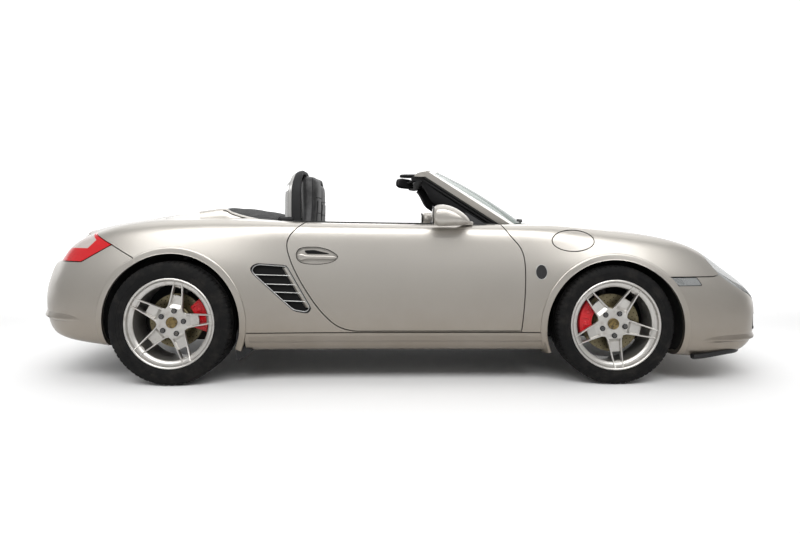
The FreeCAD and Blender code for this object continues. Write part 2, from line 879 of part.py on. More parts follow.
def build_tub():
    """The floor, bulkheads, wheel wells and load spaces that carry everything else."""
    corner = z.cabin_corner
    reach = z.cabin_reach
    foot = z.cabin_foot_reach
    top = above
    spaces = [
        rounded_box(z.cabin_rear, z.cabin_front, -foot, foot, z.cabin_floor, top, corner),
        rounded_box(z.cabin_rear, z.cabin_wide_front, -reach, reach, z.cabin_foot_height, top, corner),
        rounded_box(
            z.front_trunk_rear, z.front_trunk_front, -z.front_trunk_reach, z.front_trunk_reach,
            z.front_trunk_floor, top, corner,
        ),
        rounded_box(
            z.rear_trunk_rear, z.rear_trunk_front, -z.rear_trunk_reach, z.rear_trunk_reach,
            z.rear_trunk_floor, top, corner,
        ),
        rounded_box(
            z.roof_well_rear, z.roof_well_front, -z.roof_well_reach, z.roof_well_reach,
            z.roof_well_floor, top, corner,
        ),
        rounded_box(
            z.engine_bay_rear, z.engine_bay_front, -z.engine_bay_reach, z.engine_bay_reach, 0,
            z.engine_bay_top, corner,
        ),
        rounded_box(
            z.muffler_bay_rear, z.engine_bay_rear + corner, -z.muffler_bay_reach,
            z.muffler_bay_reach, 0, z.engine_bay_top, corner,
        ),
        front_wells,
        rear_wells,
    ]
    beside_doors = door_prism(gap).cut(box(tail, nose, -z.tub_reach, z.tub_reach, 0, top))
    lamp_wells = headlamp_prism(gap).fuse(tail_lamp_prism(gap))
    lamp_wells = lamp_wells.cut(body_solid(z.lamp_depth + z.seat_gap))
    front_cross = box(
        front_axle - z.subframe_length / 2 - z.running_clearance,
        front_axle + z.subframe_length / 2 + z.running_clearance,
        -z.front_well_reach - z.well_clearance,
        z.front_well_reach + z.well_clearance,
        0,
        z.subframe_bottom + z.subframe_height + z.seat_gap,
    )
    tunnel = z.arm_width / 2 + z.running_clearance * 2
    rear_cross = box(
        rear_axle - tunnel, rear_axle + tunnel, -z.rear_well_reach - z.well_clearance,
        z.rear_well_reach + z.well_clearance, 0, z.rear_tyre_radius + tunnel,
    )
    others = [beside_doors, lamp_wells, front_cross, rear_cross, exhaust_notch()]
    tub = core.cut(spaces + others + nose_openings())
    pads = []
    reach = z.door_inner_reach - z.seat_gap
    for place in (door_rear + z.rear_pad_setback, door_front - z.front_pad_setback):
        root = V(place, z.cabin_foot_reach + z.cabin_corner, z.pad_height)
        pad = Part.makeCylinder(z.pad_radius, reach - root.y, root, LEFT)
        pads += [pad, mirrored(pad)]
    for place in (z.rear_jack_place, z.front_jack_place):
        pad = box(
            place - z.jack_length / 2, place + z.jack_length / 2, z.jack_reach - z.jack_width / 2,
            z.jack_reach + z.jack_width / 2, z.jack_height, z.cabin_floor,
        )
        pads += [pad, mirrored(pad)]
    add("body_tub", largest(tub.fuse(pads)))


# How squarely the windscreen's foot bows, and how far its sides turn with it
screen_bow_power = 2.4
screen_turn_share = 0.5


def screen_point(across_share, up_share, depth):
    """A point of the windscreen: a curved base and top edge, and a slight belly that the sides lack."""
    u, v = across_share, up_share
    bow = abs(u) ** screen_bow_power
    low = V(
        z.screen_base_front - (z.screen_base_front - z.screen_base_side) * bow,
        z.screen_base_reach * u,
        screen_base,
    )
    high = V(
        z.screen_top_front - (z.screen_top_front - z.screen_top_side) * u * u,
        z.screen_top_reach * u,
        screen_top - (screen_top - screen_corner) * u * u,
    )
    slope = (high - low).normalize()
    side = V(-screen_turn_share * u, 1, 0).normalize()
    normal = side.cross(slope)
    belly = z.screen_belly * 4 * v * (1 - v) * (1 - u * u)
    return low + (high - low) * v + normal * (belly - depth)


def patch(points):
    surface = Part.BSplineSurface()
    surface.interpolate(points)
    return surface.toShape()


def slab(point, across_shares, up_shares, front_depth, back_depth):
    """A curved slab between two depths below a surface given as a function of two shares."""
    front = [[point(u, v, front_depth) for v in up_shares] for u in across_shares]
    back = [[point(u, v, back_depth) for v in up_shares] for u in across_shares]
    faces = [patch(front), patch(back)]
    for near, far in zip(faces[0].Edges, faces[1].Edges):
        faces.append(Part.makeRuledSurface(near, far))
    return closed_solid(faces)


def spread(low, high, count):
    return [low + (high - low) * index / (count - 1) for index in range(count)]


def build_windscreen():
    """The screen's frame, which stands on the cowl, and its glass."""
    below = -z.screen_root / screen_top
    pillar = 1 - float(z.pillar_share)
    header = 1 - float(z.header_share)
    body = body_solid(-z.seat_gap)
    full = slab(screen_point, spread(-1, 1, 11), spread(below, 1, 7), 0, float(z.screen_depth))
    depth = float(z.screen_depth)
    window = slab(
        screen_point, spread(-pillar, pillar, 11), spread(2 * below, header, 7), -depth, 2 * depth
    )
    frame = full.cut([window, body])
    add("windscreen_frame", Part.makeCompound(solids_of(frame)[:1]))
    small = z.seat_gap / z.screen_base_reach
    glass = slab(
        screen_point,
        spread(-pillar + small, pillar - small, 11),
        spread(below, header - small, 7),
        float(z.glass_setback),
        float(z.glass_setback + z.glass_thickness),
    )
    add("windscreen_glass", largest(glass.cut(body)))


def wheel_body(label, axle):
    """A light-alloy wheel turned about Y with its outer face towards +Y, with its brake disc."""
    half = getattr(z, f"{axle}_rim_width") / 2
    offset = getattr(z, f"{axle}_wheel_offset")
    disc_radius = getattr(z, f"{axle}_disc_radius")
    disc_face = offset - z.disc_setback
    hub_face = half - z.hub_face_depth
    spoke_face = half - z.spoke_end_depth
    profile = [
        (hub_face - z.cap_recess, 0),
        (hub_face - z.cap_recess, z.cap_radius),
        (hub_face, z.cap_radius),
        (hub_face, z.hub_radius),
        (spoke_face, z.rim_barrel_radius),
        (half - z.rim_lip_depth / 2, z.rim_lip_radius - z.rim_lip_depth),
        (half, z.rim_lip_radius - z.rim_lip_depth / 2),
        (half, z.rim_lip_radius),
        (-half, z.rim_lip_radius),
        (-half, z.rim_lip_radius - z.rim_lip_depth),
        (-half + z.rim_lip_depth * 2, z.rim_barrel_radius),
        (spoke_face - z.spoke_thickness, z.rim_barrel_radius),
        (hub_face - z.spoke_thickness, z.hub_radius + z.hub_wall),
        (offset, z.hub_radius),
        (disc_face, z.hub_radius),
        (disc_face, disc_radius),
        (disc_face - z.disc_thickness, disc_radius),
        (disc_face - z.disc_thickness, z.disc_hat_bore),
        (offset - z.hub_wall, z.disc_hat_bore),
        (offset - z.hub_wall, 0),
    ]
    body = doc.addObject("PartDesign::Body", label)
    body.Label = label
    section = sketch_on(body, label + "_section", "YZ_Plane", profile)
    turned = body.newObject("PartDesign::Revolution", label + "_turned")
    turned.Profile = section
    turned.ReferenceAxis = (section, ["H_Axis"])
    turned.Angle = 360
    window = [
        (-z.window_root_half, z.window_root),
        (z.window_root_half, z.window_root),
        (z.window_end_half, z.window_end),
        (-z.window_end_half, z.window_end),
    ]
    opening = sketch_on(body, label + "_window", "XZ_Plane", window)
    opening.setExpression("AttachmentOffset.Base.z", formula(-(disc_face + z.disc_clearance)))
    doc.recompute()
    pocket = body.newObject("PartDesign::Pocket", label + "_opening")
    pocket.Profile = opening
    pocket.setExpression("Length", formula(half))
    doc.recompute()
    pattern = body.newObject("PartDesign::PolarPattern", label + "_openings")
    pattern.Originals = [pocket]
    pattern.Axis = (origin_plane(body, "Y_Axis"), [""])
    pattern.Angle = 360
    pattern.Occurrences = 5
    body.Tip = pattern
    pieces[label] = body
    return body


def tyre_body(label, axle):
    radius = getattr(z, f"{axle}_tyre_radius")
    half = getattr(z, f"{axle}_tyre_width") / 2
    bore = z.rim_lip_radius + z.seat_gap
    bead = getattr(z, f"{axle}_rim_width") / 2 - z.seat_gap
    profile = [
        (-bead, bore),
        (bead, bore),
        (half, bore + z.bead_height),
        (half - z.tyre_bulge / 2, radius - z.tyre_shoulder),
        (half - z.tyre_shoulder, radius),
        (-half + z.tyre_shoulder, radius),
        (-half + z.tyre_bulge / 2, radius - z.tyre_shoulder),
        (-half, bore + z.bead_height),
    ]
    body = doc.addObject("PartDesign::Body", label)
    body.Label = label
    section = sketch_on(body, label + "_section", "YZ_Plane", profile)
    turned = body.newObject("PartDesign::Revolution", label + "_turned")
    turned.Profile = section
    turned.ReferenceAxis = (section, ["H_Axis"])
    turned.Angle = 360
    pieces[label] = body
    return body


def place_wheel(body, axle, side):
    """Puts a wheel or tyre on its hub, outer face outwards, standing on the ground."""
    axle_place = front_axle if axle == "front" else rear_axle
    track = getattr(z, f"{axle}_track")
    radius = getattr(z, f"{axle}_tyre_radius")
    turn = FreeCAD.Rotation(LEFT, -wheel_turn[axle])
    if side == "right":
        turn = turn.multiply(FreeCAD.Rotation(UP, 180))
    body.Placement.Rotation = turn
    bind(
        body,
        Placement_Base_x=axle_place,
        Placement_Base_y=track / 2 * SIDES[side],
        Placement_Base_z=radius,
    )


def annular_block(low, high, root, rim, start, sweep):
    """Part of a ring about Y between two places on Y, two radii and two angles."""
    whole = Part.makeCylinder(rim, high - low, V(0, low, 0), LEFT, sweep)
    whole = whole.cut(Part.makeCylinder(root, high - low, V(0, low, 0), LEFT))
    whole.rotate(ORIGIN, LEFT, start)
    return whole


def build_running_gear():
    """Wheels, brakes, steering uprights and the two axles."""
    for axle in ("front", "rear"):
        place = front_axle if axle == "front" else rear_axle
        track = getattr(z, f"{axle}_track")
        height = getattr(z, f"{axle}_tyre_radius")
        offset = getattr(z, f"{axle}_wheel_offset")
        disc_radius = getattr(z, f"{axle}_disc_radius")
        disc_face = offset - z.disc_setback
        clear = z.running_clearance
        centre = V(place, track / 2, height)
        outer_side = disc_face + clear + z.caliper_wall
        inner_side = disc_face - z.disc_thickness - clear - z.caliper_wall
        rim = z.rim_barrel_radius - z.caliper_rim_clearance
        start = caliper_start[axle]
        caliper = annular_block(inner_side, outer_side, z.caliper_root, rim, start, caliper_sweep)
        slot = Part.makeCylinder(
            disc_radius + clear,
            z.disc_thickness + 2 * clear,
            V(0, disc_face - z.disc_thickness - clear, 0),
            LEFT,
        )
        caliper = caliper.cut(slot)
        caliper.translate(centre)
        upright_face = inner_side - z.seat_gap
        upright_back = upright_face - z.upright_thickness
        half = z.upright_width / 2
        tall = z.upright_height / 2
        upright = box(-half, half, upright_back, upright_face, -tall, tall)
        stub_end = offset - z.hub_wall - z.seat_gap
        stub = Part.makeCylinder(z.stub_radius, stub_end - upright_back, V(0, upright_back, 0), LEFT)
        mount = annular_block(
            upright_back, upright_face, z.caliper_mount_root, rim,
            start + caliper_sweep * mount_start_share, caliper_sweep * mount_sweep_share,
        )
        knuckle = upright.fuse([stub, mount])
        knuckle.translate(centre)
        ceiling = getattr(z, f"{axle}_arch_height") + getattr(z, f"{axle}_arch_radius")
        ceiling += z.well_clearance
        if axle == "front":
            lean = math.radians(float(z.kingpin_lean))
            foot = centre - LEFT * z.kingpin_inset
            rise = ceiling - height - z.strut_radius * math.sin(lean) - z.strut_top_gap
            path = V(0, -math.sin(lean), math.cos(lean))
            strut = Part.makeCylinder(z.strut_radius, rise / math.cos(lean), foot, path)
            seat = z.subframe_bottom + z.arm_height + z.seat_gap + z.ball_radius * math.sin(lean)
            ball_place = foot - path * ((height - seat) / math.cos(lean))
            knuckle = knuckle.fuse([strut, Part.makeCylinder(z.ball_radius, tall, ball_place, path)])
        else:
            foot = centre - LEFT * z.rear_strut_inset
            strut = Part.makeCylinder(z.strut_radius, ceiling - height - z.strut_top_gap, foot, UP)
            arm = box(
                -z.arm_width / 2, z.arm_width / 2, z.subframe_reach - z.rear_track / 2,
                upright_back + z.upright_thickness / 2,
                -z.arm_drop, -z.arm_drop + z.arm_height,
            )
            start_y = z.transaxle_half - z.rear_track / 2
            shaft = Part.makeCylinder(
                z.driveshaft_radius, upright_back - start_y, V(0, start_y, 0), LEFT
            )
            arm.translate(centre)
            shaft.translate(centre)
            web = box(-z.strut_radius, z.strut_radius, -z.rear_strut_inset, upright_face, -tall, tall)
            web.translate(centre)
            rear_half = knuckle.fuse([strut, arm, shaft, web])
        if axle == "rear":
            add("rear_calipers", Part.makeCompound([caliper, mirrored(caliper)]))
        for side in SIDES:
            if axle == "front":
                add(f"{side}_front_caliper", on_side(caliper.copy(), side))
                add(f"{side}_knuckle", on_side(knuckle.copy(), side))
            place_wheel(wheel_body(f"{side}_{axle}_wheel", axle), axle, side)
            place_wheel(tyre_body(f"{side}_{axle}_tyre", axle), axle, side)
    length = z.subframe_length / 2
    low = z.subframe_bottom
    beam = box(
        rear_axle - length, rear_axle + length, -z.subframe_reach, z.subframe_reach, low,
        z.subframe_height + low,
    )
    transaxle = box(
        rear_axle - length, rear_axle + length, -z.transaxle_half, z.transaxle_half, low,
        z.transaxle_top,
    )
    stalk = box(
        rear_axle - length / 2, rear_axle + length / 2, -z.transaxle_half, z.transaxle_half, low,
        z.engine_bay_top - z.seat_gap,
    )
    add("rear_axle", beam.fuse([transaxle, stalk, rear_half, mirrored(rear_half)]))
    box_low = (front_axle - length, -z.subframe_reach, z.subframe_bottom)
    box_high = (front_axle + length, z.subframe_reach, z.subframe_bottom + z.subframe_height)
    frame = box_object("front_crossmember", box_low, box_high)
    arms = []
    knuckle_inner = z.front_track / 2 - z.knuckle_inner_inset
    for side, sign in SIDES.items():
        low_y = z.subframe_reach if sign > 0 else -knuckle_inner
        high_y = knuckle_inner if sign > 0 else -z.subframe_reach
        arms.append(
            box_object(
                f"{side}_front_arm",
                (front_axle - z.front_arm_width / 2, low_y, z.subframe_bottom),
                (front_axle + z.front_arm_width / 2, high_y, z.subframe_bottom + z.arm_height),
            )
        )
    axle = doc.addObject("Part::MultiFuse", "front_axle")
    axle.Label = "front_axle"
    axle.Shapes = [frame] + arms
    pieces["front_axle"] = axle


def build_cabin():
    """The seats, and the dashboard with the centre console."""
    for side, sign in SIDES.items():
        setback = z.driver_setback if side == "left" else 0
        middle = z.seat_offset * sign
        cushion = box_object(
            f"{side}_cushion",
            (z.cushion_rear - setback, middle - z.cushion_width / 2, z.cabin_floor + z.seat_gap),
            (z.cushion_front - setback, middle + z.cushion_width / 2, z.cushion_top),
        )
        back = padded_body(
            f"{side}_backrest",
            "XZ_Plane",
            [
                (z.back_foot, z.cushion_top + z.seat_gap),
                (z.back_foot + z.back_thickness, z.cushion_top + z.seat_gap),
                (z.back_head + z.back_thickness, z.back_top),
                (z.back_head, z.back_top),
            ],
            z.back_width,
        )
        bind(back, Placement_Base_x=-setback, Placement_Base_y=middle)
        seat = doc.addObject("Part::Compound", f"{side}_seat")
        seat.Label = f"{side}_seat"
        seat.Links = [cushion, back]
        pieces[f"{side}_seat"] = seat
    panel = padded_body(
        "instrument_panel",
        "XZ_Plane",
        [
            (z.cabin_wide_front - z.seat_gap, dash_bottom),
            (z.cabin_wide_front - z.seat_gap, dash_top),
            (z.dash_rear + z.dash_round * 2, dash_top),
            (z.dash_rear, dash_top - z.dash_round),
            (z.dash_rear, dash_bottom + z.dash_round),
            (z.dash_rear + z.dash_round * 2, dash_bottom),
        ],
        z.dash_reach * 2,
    )
    tunnel = padded_body(
        "centre_console",
        "XZ_Plane",
        [
            (z.console_front, z.cabin_floor + z.seat_gap),
            (z.console_front, z.console_height),
            (z.dash_rear, z.console_height),
            (z.console_rear, z.console_height),
            (z.console_rear, z.cabin_floor + z.seat_gap),
        ],
        z.console_half * 2,
    )
    dashboard = doc.addObject("Part::Compound", "dashboard")
    dashboard.Label = "dashboard"
    dashboard.Links = [panel, tunnel]
    pieces["dashboard"] = dashboard


def build_steering_wheel():
    """The ring, hub, three spokes and column, raked towards the driver."""
    ring_shape = Part.makeTorus(z.steering_ring, z.steering_grip)
    hub = Part.makeCylinder(z.steering_hub, z.steering_grip * 2, V(0, 0, -z.steering_grip))
    thin = z.steering_grip / 2
    spokes = [
        box(-z.steering_ring, z.steering_ring, -z.steering_grip, z.steering_grip, -thin, thin),
        box(-z.steering_grip, z.steering_grip, -z.steering_ring, 0, -thin, thin),
    ]
    rake = math.radians(float(z.steering_rake))
    run = z.dash_rear - z.seat_gap - z.steering_rear - z.steering_column * math.sin(rake)
    reach = run / math.cos(rake)
    column = Part.makeCylinder(z.steering_column, reach, V(0, 0, -reach))
    wheel = ring_shape.fuse([hub, column] + spokes)
    wheel.rotate(ORIGIN, UP, 90)
    wheel.rotate(ORIGIN, LEFT, float(z.steering_rake) - 90)
    wheel.translate(V(z.steering_rear, z.seat_offset, dash_top - z.steering_drop))
    add("steering_wheel", wheel)


def build_hoops():
    """The two roll-over hoops behind the seats, bent from round tube."""
    bend = z.hoop_bend
    low = z.deck_height * hoop_root_share
    inside, outside, top = z.hoop_inner, z.hoop_outer, hoop_top - z.hoop_radius
    slant = bend * (1 - math.sqrt(0.5))
    place = z.hoop_place
    edges = [
        Part.LineSegment(V(place, inside, low), V(place, inside, top - bend)).toShape(),
        Part.Arc(
            V(place, inside, top - bend),
            V(place, inside + slant, top - slant),
            V(place, inside + bend, top),
        ).toShape(),
        Part.LineSegment(V(place, inside + bend, top), V(place, outside - bend, top)).toShape(),
        Part.Arc(
            V(place, outside - bend, top),
            V(place, outside - slant, top - slant),
            V(place, outside, top - bend),
        ).toShape(),
        Part.LineSegment(V(place, outside, top - bend), V(place, outside, low)).toShape(),
    ]
    section = Part.Wire([Part.Circle(V(place, inside, low), UP, z.hoop_radius).toShape()])
    hoop = Part.Wire(edges).makePipeShell([section], True, True)
    hoop = hoop.cut(body_solid(float(z.panel_thickness)))
    hoop = largest(hoop)
    add("roll_hoops", Part.makeCompound([hoop, mirrored(hoop)]))


def build_drive():
    """The engine as one plain block, and the silencer with its two tail pipes."""
    front = z.engine_bay_front - z.seat_gap
    pieces["engine_block"] = box_object(
        "engine_block",
        (front - z.engine_length, -z.engine_width / 2, z.engine_bottom),
        (front, z.engine_width / 2, z.engine_bottom + z.engine_height),
    )
    half = z.muffler_width / 2
    drum = Part.makeCylinder(
        z.muffler_radius, z.muffler_width, V(z.muffler_place, -half, z.muffler_height), LEFT
    )
    hanger = box(
        z.muffler_place - z.tip_radius, z.muffler_place + z.tip_radius, -z.tip_radius,
        z.tip_radius, z.muffler_height, z.engine_bay_top - z.seat_gap,
    )
    start = V(z.muffler_place, -half, z.muffler_height)
    around = Part.makeCylinder(z.muffler_radius + z.seat_gap, z.muffler_width, start, LEFT)
    tips = []
    for sign in SIDES.values():
        root = V(z.tip_end, z.tip_spacing / 2 * sign, z.tip_height)
        tip = Part.makeCylinder(z.tip_radius, z.muffler_place - z.tip_end, root, FORWARD)
        bore = Part.makeCylinder(z.tip_radius - z.tip_wall, z.tip_bore, root, FORWARD)
        tips.append(largest(tip.cut([bore, around])))
    add("exhaust", Part.makeCompound([drum.fuse(hanger)] + tips))


def build_mirrors():
    """The outside mirrors, each a rounded housing on a foot at the front of its door."""
    clear_body = body_solid(-z.seat_gap)
    housing = box(
        z.mirror_rear, z.mirror_front, z.mirror_inner, z.mirror_outer, mirror_bottom, mirror_top
    )
    long_edges = [edge for edge in housing.Edges if abs(edge.tangentAt(edge.FirstParameter).x) > 0.5]
    housing = housing.makeFillet(z.mirror_round, long_edges)
    front = [edge for edge in housing.Edges if edge.BoundBox.XMin > z.mirror_front - z.seat_gap]
    housing = housing.makeFillet(z.mirror_nose_round, front)
    rear = [edge for edge in housing.Edges if edge.BoundBox.XMax < z.mirror_rear + z.seat_gap]
    housing = housing.makeFillet(z.mirror_lip, rear)
    foot = box(
        z.mirror_front - z.mirror_foot_length, z.mirror_front,
        z.mirror_inner - z.mirror_foot_inset, z.mirror_inner + z.mirror_foot_width,
        screen_base - z.mirror_foot_drop, mirror_bottom + z.mirror_round,
    )
    mirror = largest(housing.fuse(foot).cut(clear_body))
    for side in SIDES:
        add(f"{side}_mirror", on_side(mirror.copy(), side))


def build_folded_roof():
    """The folded fabric roof in its well, ahead of its lid."""
    clear = z.seat_gap
    stack = rounded_box(
        z.roof_well_rear + clear, z.roof_well_front - clear, -z.roof_well_reach + clear,
        z.roof_well_reach - clear, z.roof_well_floor + clear, above, z.cabin_corner,
    )
    top = skin.common(cabin_opening()).common(
        box(z.roof_well_rear, z.roof_well_front, -half_width, half_width, 0, above)
    )
    fabric = outer.common(stack).fuse(top).cut(lid_prism("roof_lid", z.panel_gap))
    add("folded_roof", largest(fabric))


doc.recompute()
build_panels()
build_tub()
build_windscreen()
build_running_gear()
build_cabin()
build_steering_wheel()
build_hoops()
build_drive()
build_mirrors()
build_folded_roof()

doc.recompute()
faults = [item.Name for item in doc.Objects if {"Invalid", "Error"} & set(item.State)]
for label, piece in pieces.items():
    shape = piece.Shape
    if shape.isNull() or not shape.isValid() or shape.Volume <= 0:
        faults.append(label)
if faults:
    raise RuntimeError("faulty: " + ", ".join(faults))
for label, piece in pieces.items():
    piece.Shape.exportStep(f"parts/{label}.step")
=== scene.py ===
import math

import bpy
import numpy as np
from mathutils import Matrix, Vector
from mathutils.bvhtree import BVHTree


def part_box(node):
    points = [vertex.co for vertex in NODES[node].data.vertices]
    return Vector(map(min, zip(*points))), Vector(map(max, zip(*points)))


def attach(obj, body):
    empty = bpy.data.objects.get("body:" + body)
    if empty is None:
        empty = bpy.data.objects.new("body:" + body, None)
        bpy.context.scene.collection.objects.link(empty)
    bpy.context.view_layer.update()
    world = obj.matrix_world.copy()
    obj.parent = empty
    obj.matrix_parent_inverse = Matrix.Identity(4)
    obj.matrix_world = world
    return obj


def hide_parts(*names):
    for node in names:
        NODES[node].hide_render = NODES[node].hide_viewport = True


bl_info = {
    "name": "Open sports car dressing",
    "version": (1, 0, 0),
    "blender": (4, 5, 0),
    "location": "View3D > Sidebar > Car",
    "description": "Dresses the car's solids with wheels, lamps, cabin fittings, trims and finishes",
    "category": "Object",
}

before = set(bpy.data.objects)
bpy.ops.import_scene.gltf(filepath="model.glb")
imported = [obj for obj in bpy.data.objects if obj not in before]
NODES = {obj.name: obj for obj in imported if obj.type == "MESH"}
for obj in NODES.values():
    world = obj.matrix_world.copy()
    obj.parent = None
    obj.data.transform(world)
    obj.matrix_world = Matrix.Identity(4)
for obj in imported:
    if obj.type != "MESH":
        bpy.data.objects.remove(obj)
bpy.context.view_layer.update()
FRONT_AXLE, REAR_AXLE = 1.1725, -1.2425
FRONT_HUB, REAR_HUB = 0.3225, 0.3345
SIDES = {"right": -1, "left": 1}
SPOKES = 5
HUB_SUNK = 0.05
BOLT_CIRCLE = 0.065


# Shader maths

class Signal:
    """A shader value that takes part in ordinary sums."""

    def __init__(self, tree, socket):
        self.tree = tree
        self.socket = socket

    def maths(self, operation, other=None, swapped=False):
        """One step of arithmetic as a node."""
        node = self.tree.nodes.new("ShaderNodeMath")
        node.operation = operation
        values = [self] if other is None else ([other, self] if swapped else [self, other])
        for slot, value in zip(node.inputs, values):
            link(self.tree, slot, value)
        return Signal(self.tree, node.outputs[0])

    def __add__(self, other):
        return self.maths("ADD", other)

    __radd__ = __add__

    def __mul__(self, other):
        return self.maths("MULTIPLY", other)

    def __sub__(self, other):
        return self.maths("SUBTRACT", other)

    def __rsub__(self, other):
        return self.maths("SUBTRACT", other, swapped=True)

    def __truediv__(self, other):
        return self.maths("DIVIDE", other)

    def __pow__(self, other):
        return self.maths("POWER", other)

    def above(self, low, high):
        """0 below low, 1 above high and smooth between."""
        node = self.tree.nodes.new("ShaderNodeMapRange")
        node.interpolation_type = "SMOOTHSTEP"
        for slot, value in zip(node.inputs, (self, low, high, 0.0, 1.0)):
            link(self.tree, slot, value)
        return Signal(self.tree, node.outputs[0])


def link(tree, slot, value):
    """Joins a socket to a signal, or sets it to a constant."""
    if isinstance(value, Signal):
        tree.links.new(slot, value.socket)
    else:
        slot.default_value = value


class Finish:
    """A material and the nodes that give its look. Its ink() mixes colours and its node() adds any node."""

    def __init__(self, name, colour, **constants):
        self.material = bpy.data.materials.new(name)
        self.material.use_nodes = True
        self.tree = self.material.node_tree
        self.shader = self.tree.nodes["Principled BSDF"]
        self.set(Base_Color=(*colour, 1.0), **constants)

    def set(self, **values):
        """Gives the shader's sockets constants or signals, by name."""
        for name, value in values.items():
            link(self.tree, self.shader.inputs[name.replace("_", " ")], value)
        return self

    def node(self, kind, output=0, settings=None, **values):
        """Adds a node, with plain settings and with constants or signals for its sockets by name."""
        node = self.tree.nodes.new("ShaderNode" + kind)
        for name, value in (settings or {}).items():
            setattr(node, name, value)
        for name, value in values.items():
            link(self.tree, node.inputs[name.replace("_", " ")], value)
        return Signal(self.tree, node.outputs[output])

    def place(self):
        """Object coordinates."""
        return self.node("TexCoord", output=3)

    def axis(self, index):
        """One object coordinate: 0 is X, 1 is Y and 2 is Z."""
        return self.node("SeparateXYZ", output=index, Vector=self.place())

    def noise(self, scale, detail=2.0, roughness=0.5, where=None):
        """Cloudy noise from 0 to 1."""
        return self.node(
            "TexNoise", Vector=where or self.place(), Scale=scale, Detail=detail, Roughness=roughness
        )

    def cells(self, scale, output=0):
        """Cells: output 0 is the distance to a cell's middle, 1 its colour."""
        return self.node("TexVoronoi", output=output, Vector=self.place(), Scale=scale)

    def stretched(self, x, y, z):
        """Object coordinates stretched along each axis."""
        return self.node("Mapping", Vector=self.place(), Scale=(x, y, z))

    def ink(self, share, first, second):
        """A colour between two, by a share."""
        node = self.tree.nodes.new("ShaderNodeMix")
        node.data_type = "RGBA"
        link(self.tree, node.inputs[0], share)
        for slot, value in ((node.inputs[6], first), (node.inputs[7], second)):
            link(self.tree, slot, value if isinstance(value, Signal) else (*value, 1.0))
        return Signal(self.tree, node.outputs[2])

    def bump(self, height, distance, strength=1.0):
        """Tilts the shading as if the surface rose by a height."""
        normal = self.node("Bump", Height=height, Distance=distance, Strength=strength)
        return self.set(Normal=normal)


FINISHES = {}


def finish(name):
    """The material of that name, made at its first use."""
    if name not in FINISHES:
        FINISHES[name] = MAKERS[name]().material
    return FINISHES[name]


def silver_paint():
    """Warm silver lacquer: metal flakes under a clear coat, with a painted brown reflection of the ground low
    down, in cloudy patches.
    """
    colours = bpy.context.scene.car_colours
    f = Finish("silver_paint", colours.paint, Metallic=0.9, Coat_Weight=0.35, Coat_Roughness=0.06)
    flake = f.cells(1500.0, output=1)
    shade = f.node("SeparateColor", Color=flake)
    base = tuple(colours.paint)
    metal = f.ink(shade * 0.35, base, tuple(min(1.0, c * 1.22) for c in base))
    # Painted reflection: from 0.74 m down to 0.1 m the colour turns darker and browner, in cloudy patches,
    # standing in for the ground's reflection.
    dust_and_painted_reflection = (1.0 - f.axis(2).above(0.1, 0.74)) * (0.8 + f.noise(4.0, 4.0, 0.6) * 0.4)
    f.set(Base_Color=f.ink(dust_and_painted_reflection * 0.8, metal, tuple(c * d for c, d in zip(base, (0.42, 0.36, 0.29)))))
    f.set(Roughness=0.34 + shade * 0.06 + f.noise(3.0) * 0.04)
    return f.bump(f.noise(240.0), 0.00002, 0.5)


def plain_black(name="black_plastic", base=(0.009, 0.009, 0.0095), rough=0.55, grain=900.0, depth=0.00012):
    """Moulded black plastic with a fine grain."""
    f = Finish(name, base, Specular_IOR_Level=0.3)
    grains = f.cells(grain)
    f.set(Base_Color=f.ink(f.noise(9.0), base, tuple(c * 1.7 for c in base)))
    f.set(Roughness=rough + f.noise(14.0) * 0.15 - 0.07)
    return f.bump(grains, depth, 0.6)


def gloss_black():
    """Gloss black trim with faint dust."""
    f = Finish("gloss_black", (0.008, 0.008, 0.009), Coat_Weight=0.6)
    f.set(Roughness=0.14 + f.noise(30.0, 4.0) * 0.12)
    return f.bump(f.noise(90.0), 0.00002, 0.4)


def tyre_rubber():
    """Road-worn rubber: dull, with a dusty bloom towards the tread."""
    f = Finish("tyre_rubber", (0.006, 0.006, 0.006), Specular_IOR_Level=0.15)
    dust_and_painted_reflection = f.noise(16.0, 5.0, 0.65)
    f.set(Base_Color=f.ink(dust_and_painted_reflection.above(0.42, 0.78), (0.004, 0.004, 0.0042), (0.016, 0.0145, 0.013)))
    f.set(Roughness=0.62 + dust_and_painted_reflection * 0.22)
    return f.bump(f.noise(700.0, 3.0), 0.00015, 0.6)


def alloy():
    """Silver wheel lacquer, slightly warm, with brake dust in the noise."""
    f = Finish("alloy", (0.5, 0.485, 0.46), Metallic=0.9, Coat_Weight=0.2, Coat_Roughness=0.1)
    grime = f.noise(22.0, 5.0, 0.6)
    f.set(Base_Color=f.ink(grime.above(0.5, 0.85), (0.52, 0.505, 0.48), (0.33, 0.3, 0.265)))
    f.set(Roughness=0.3 + grime * 0.16)
    return f.bump(f.noise(500.0), 0.00003, 0.5)


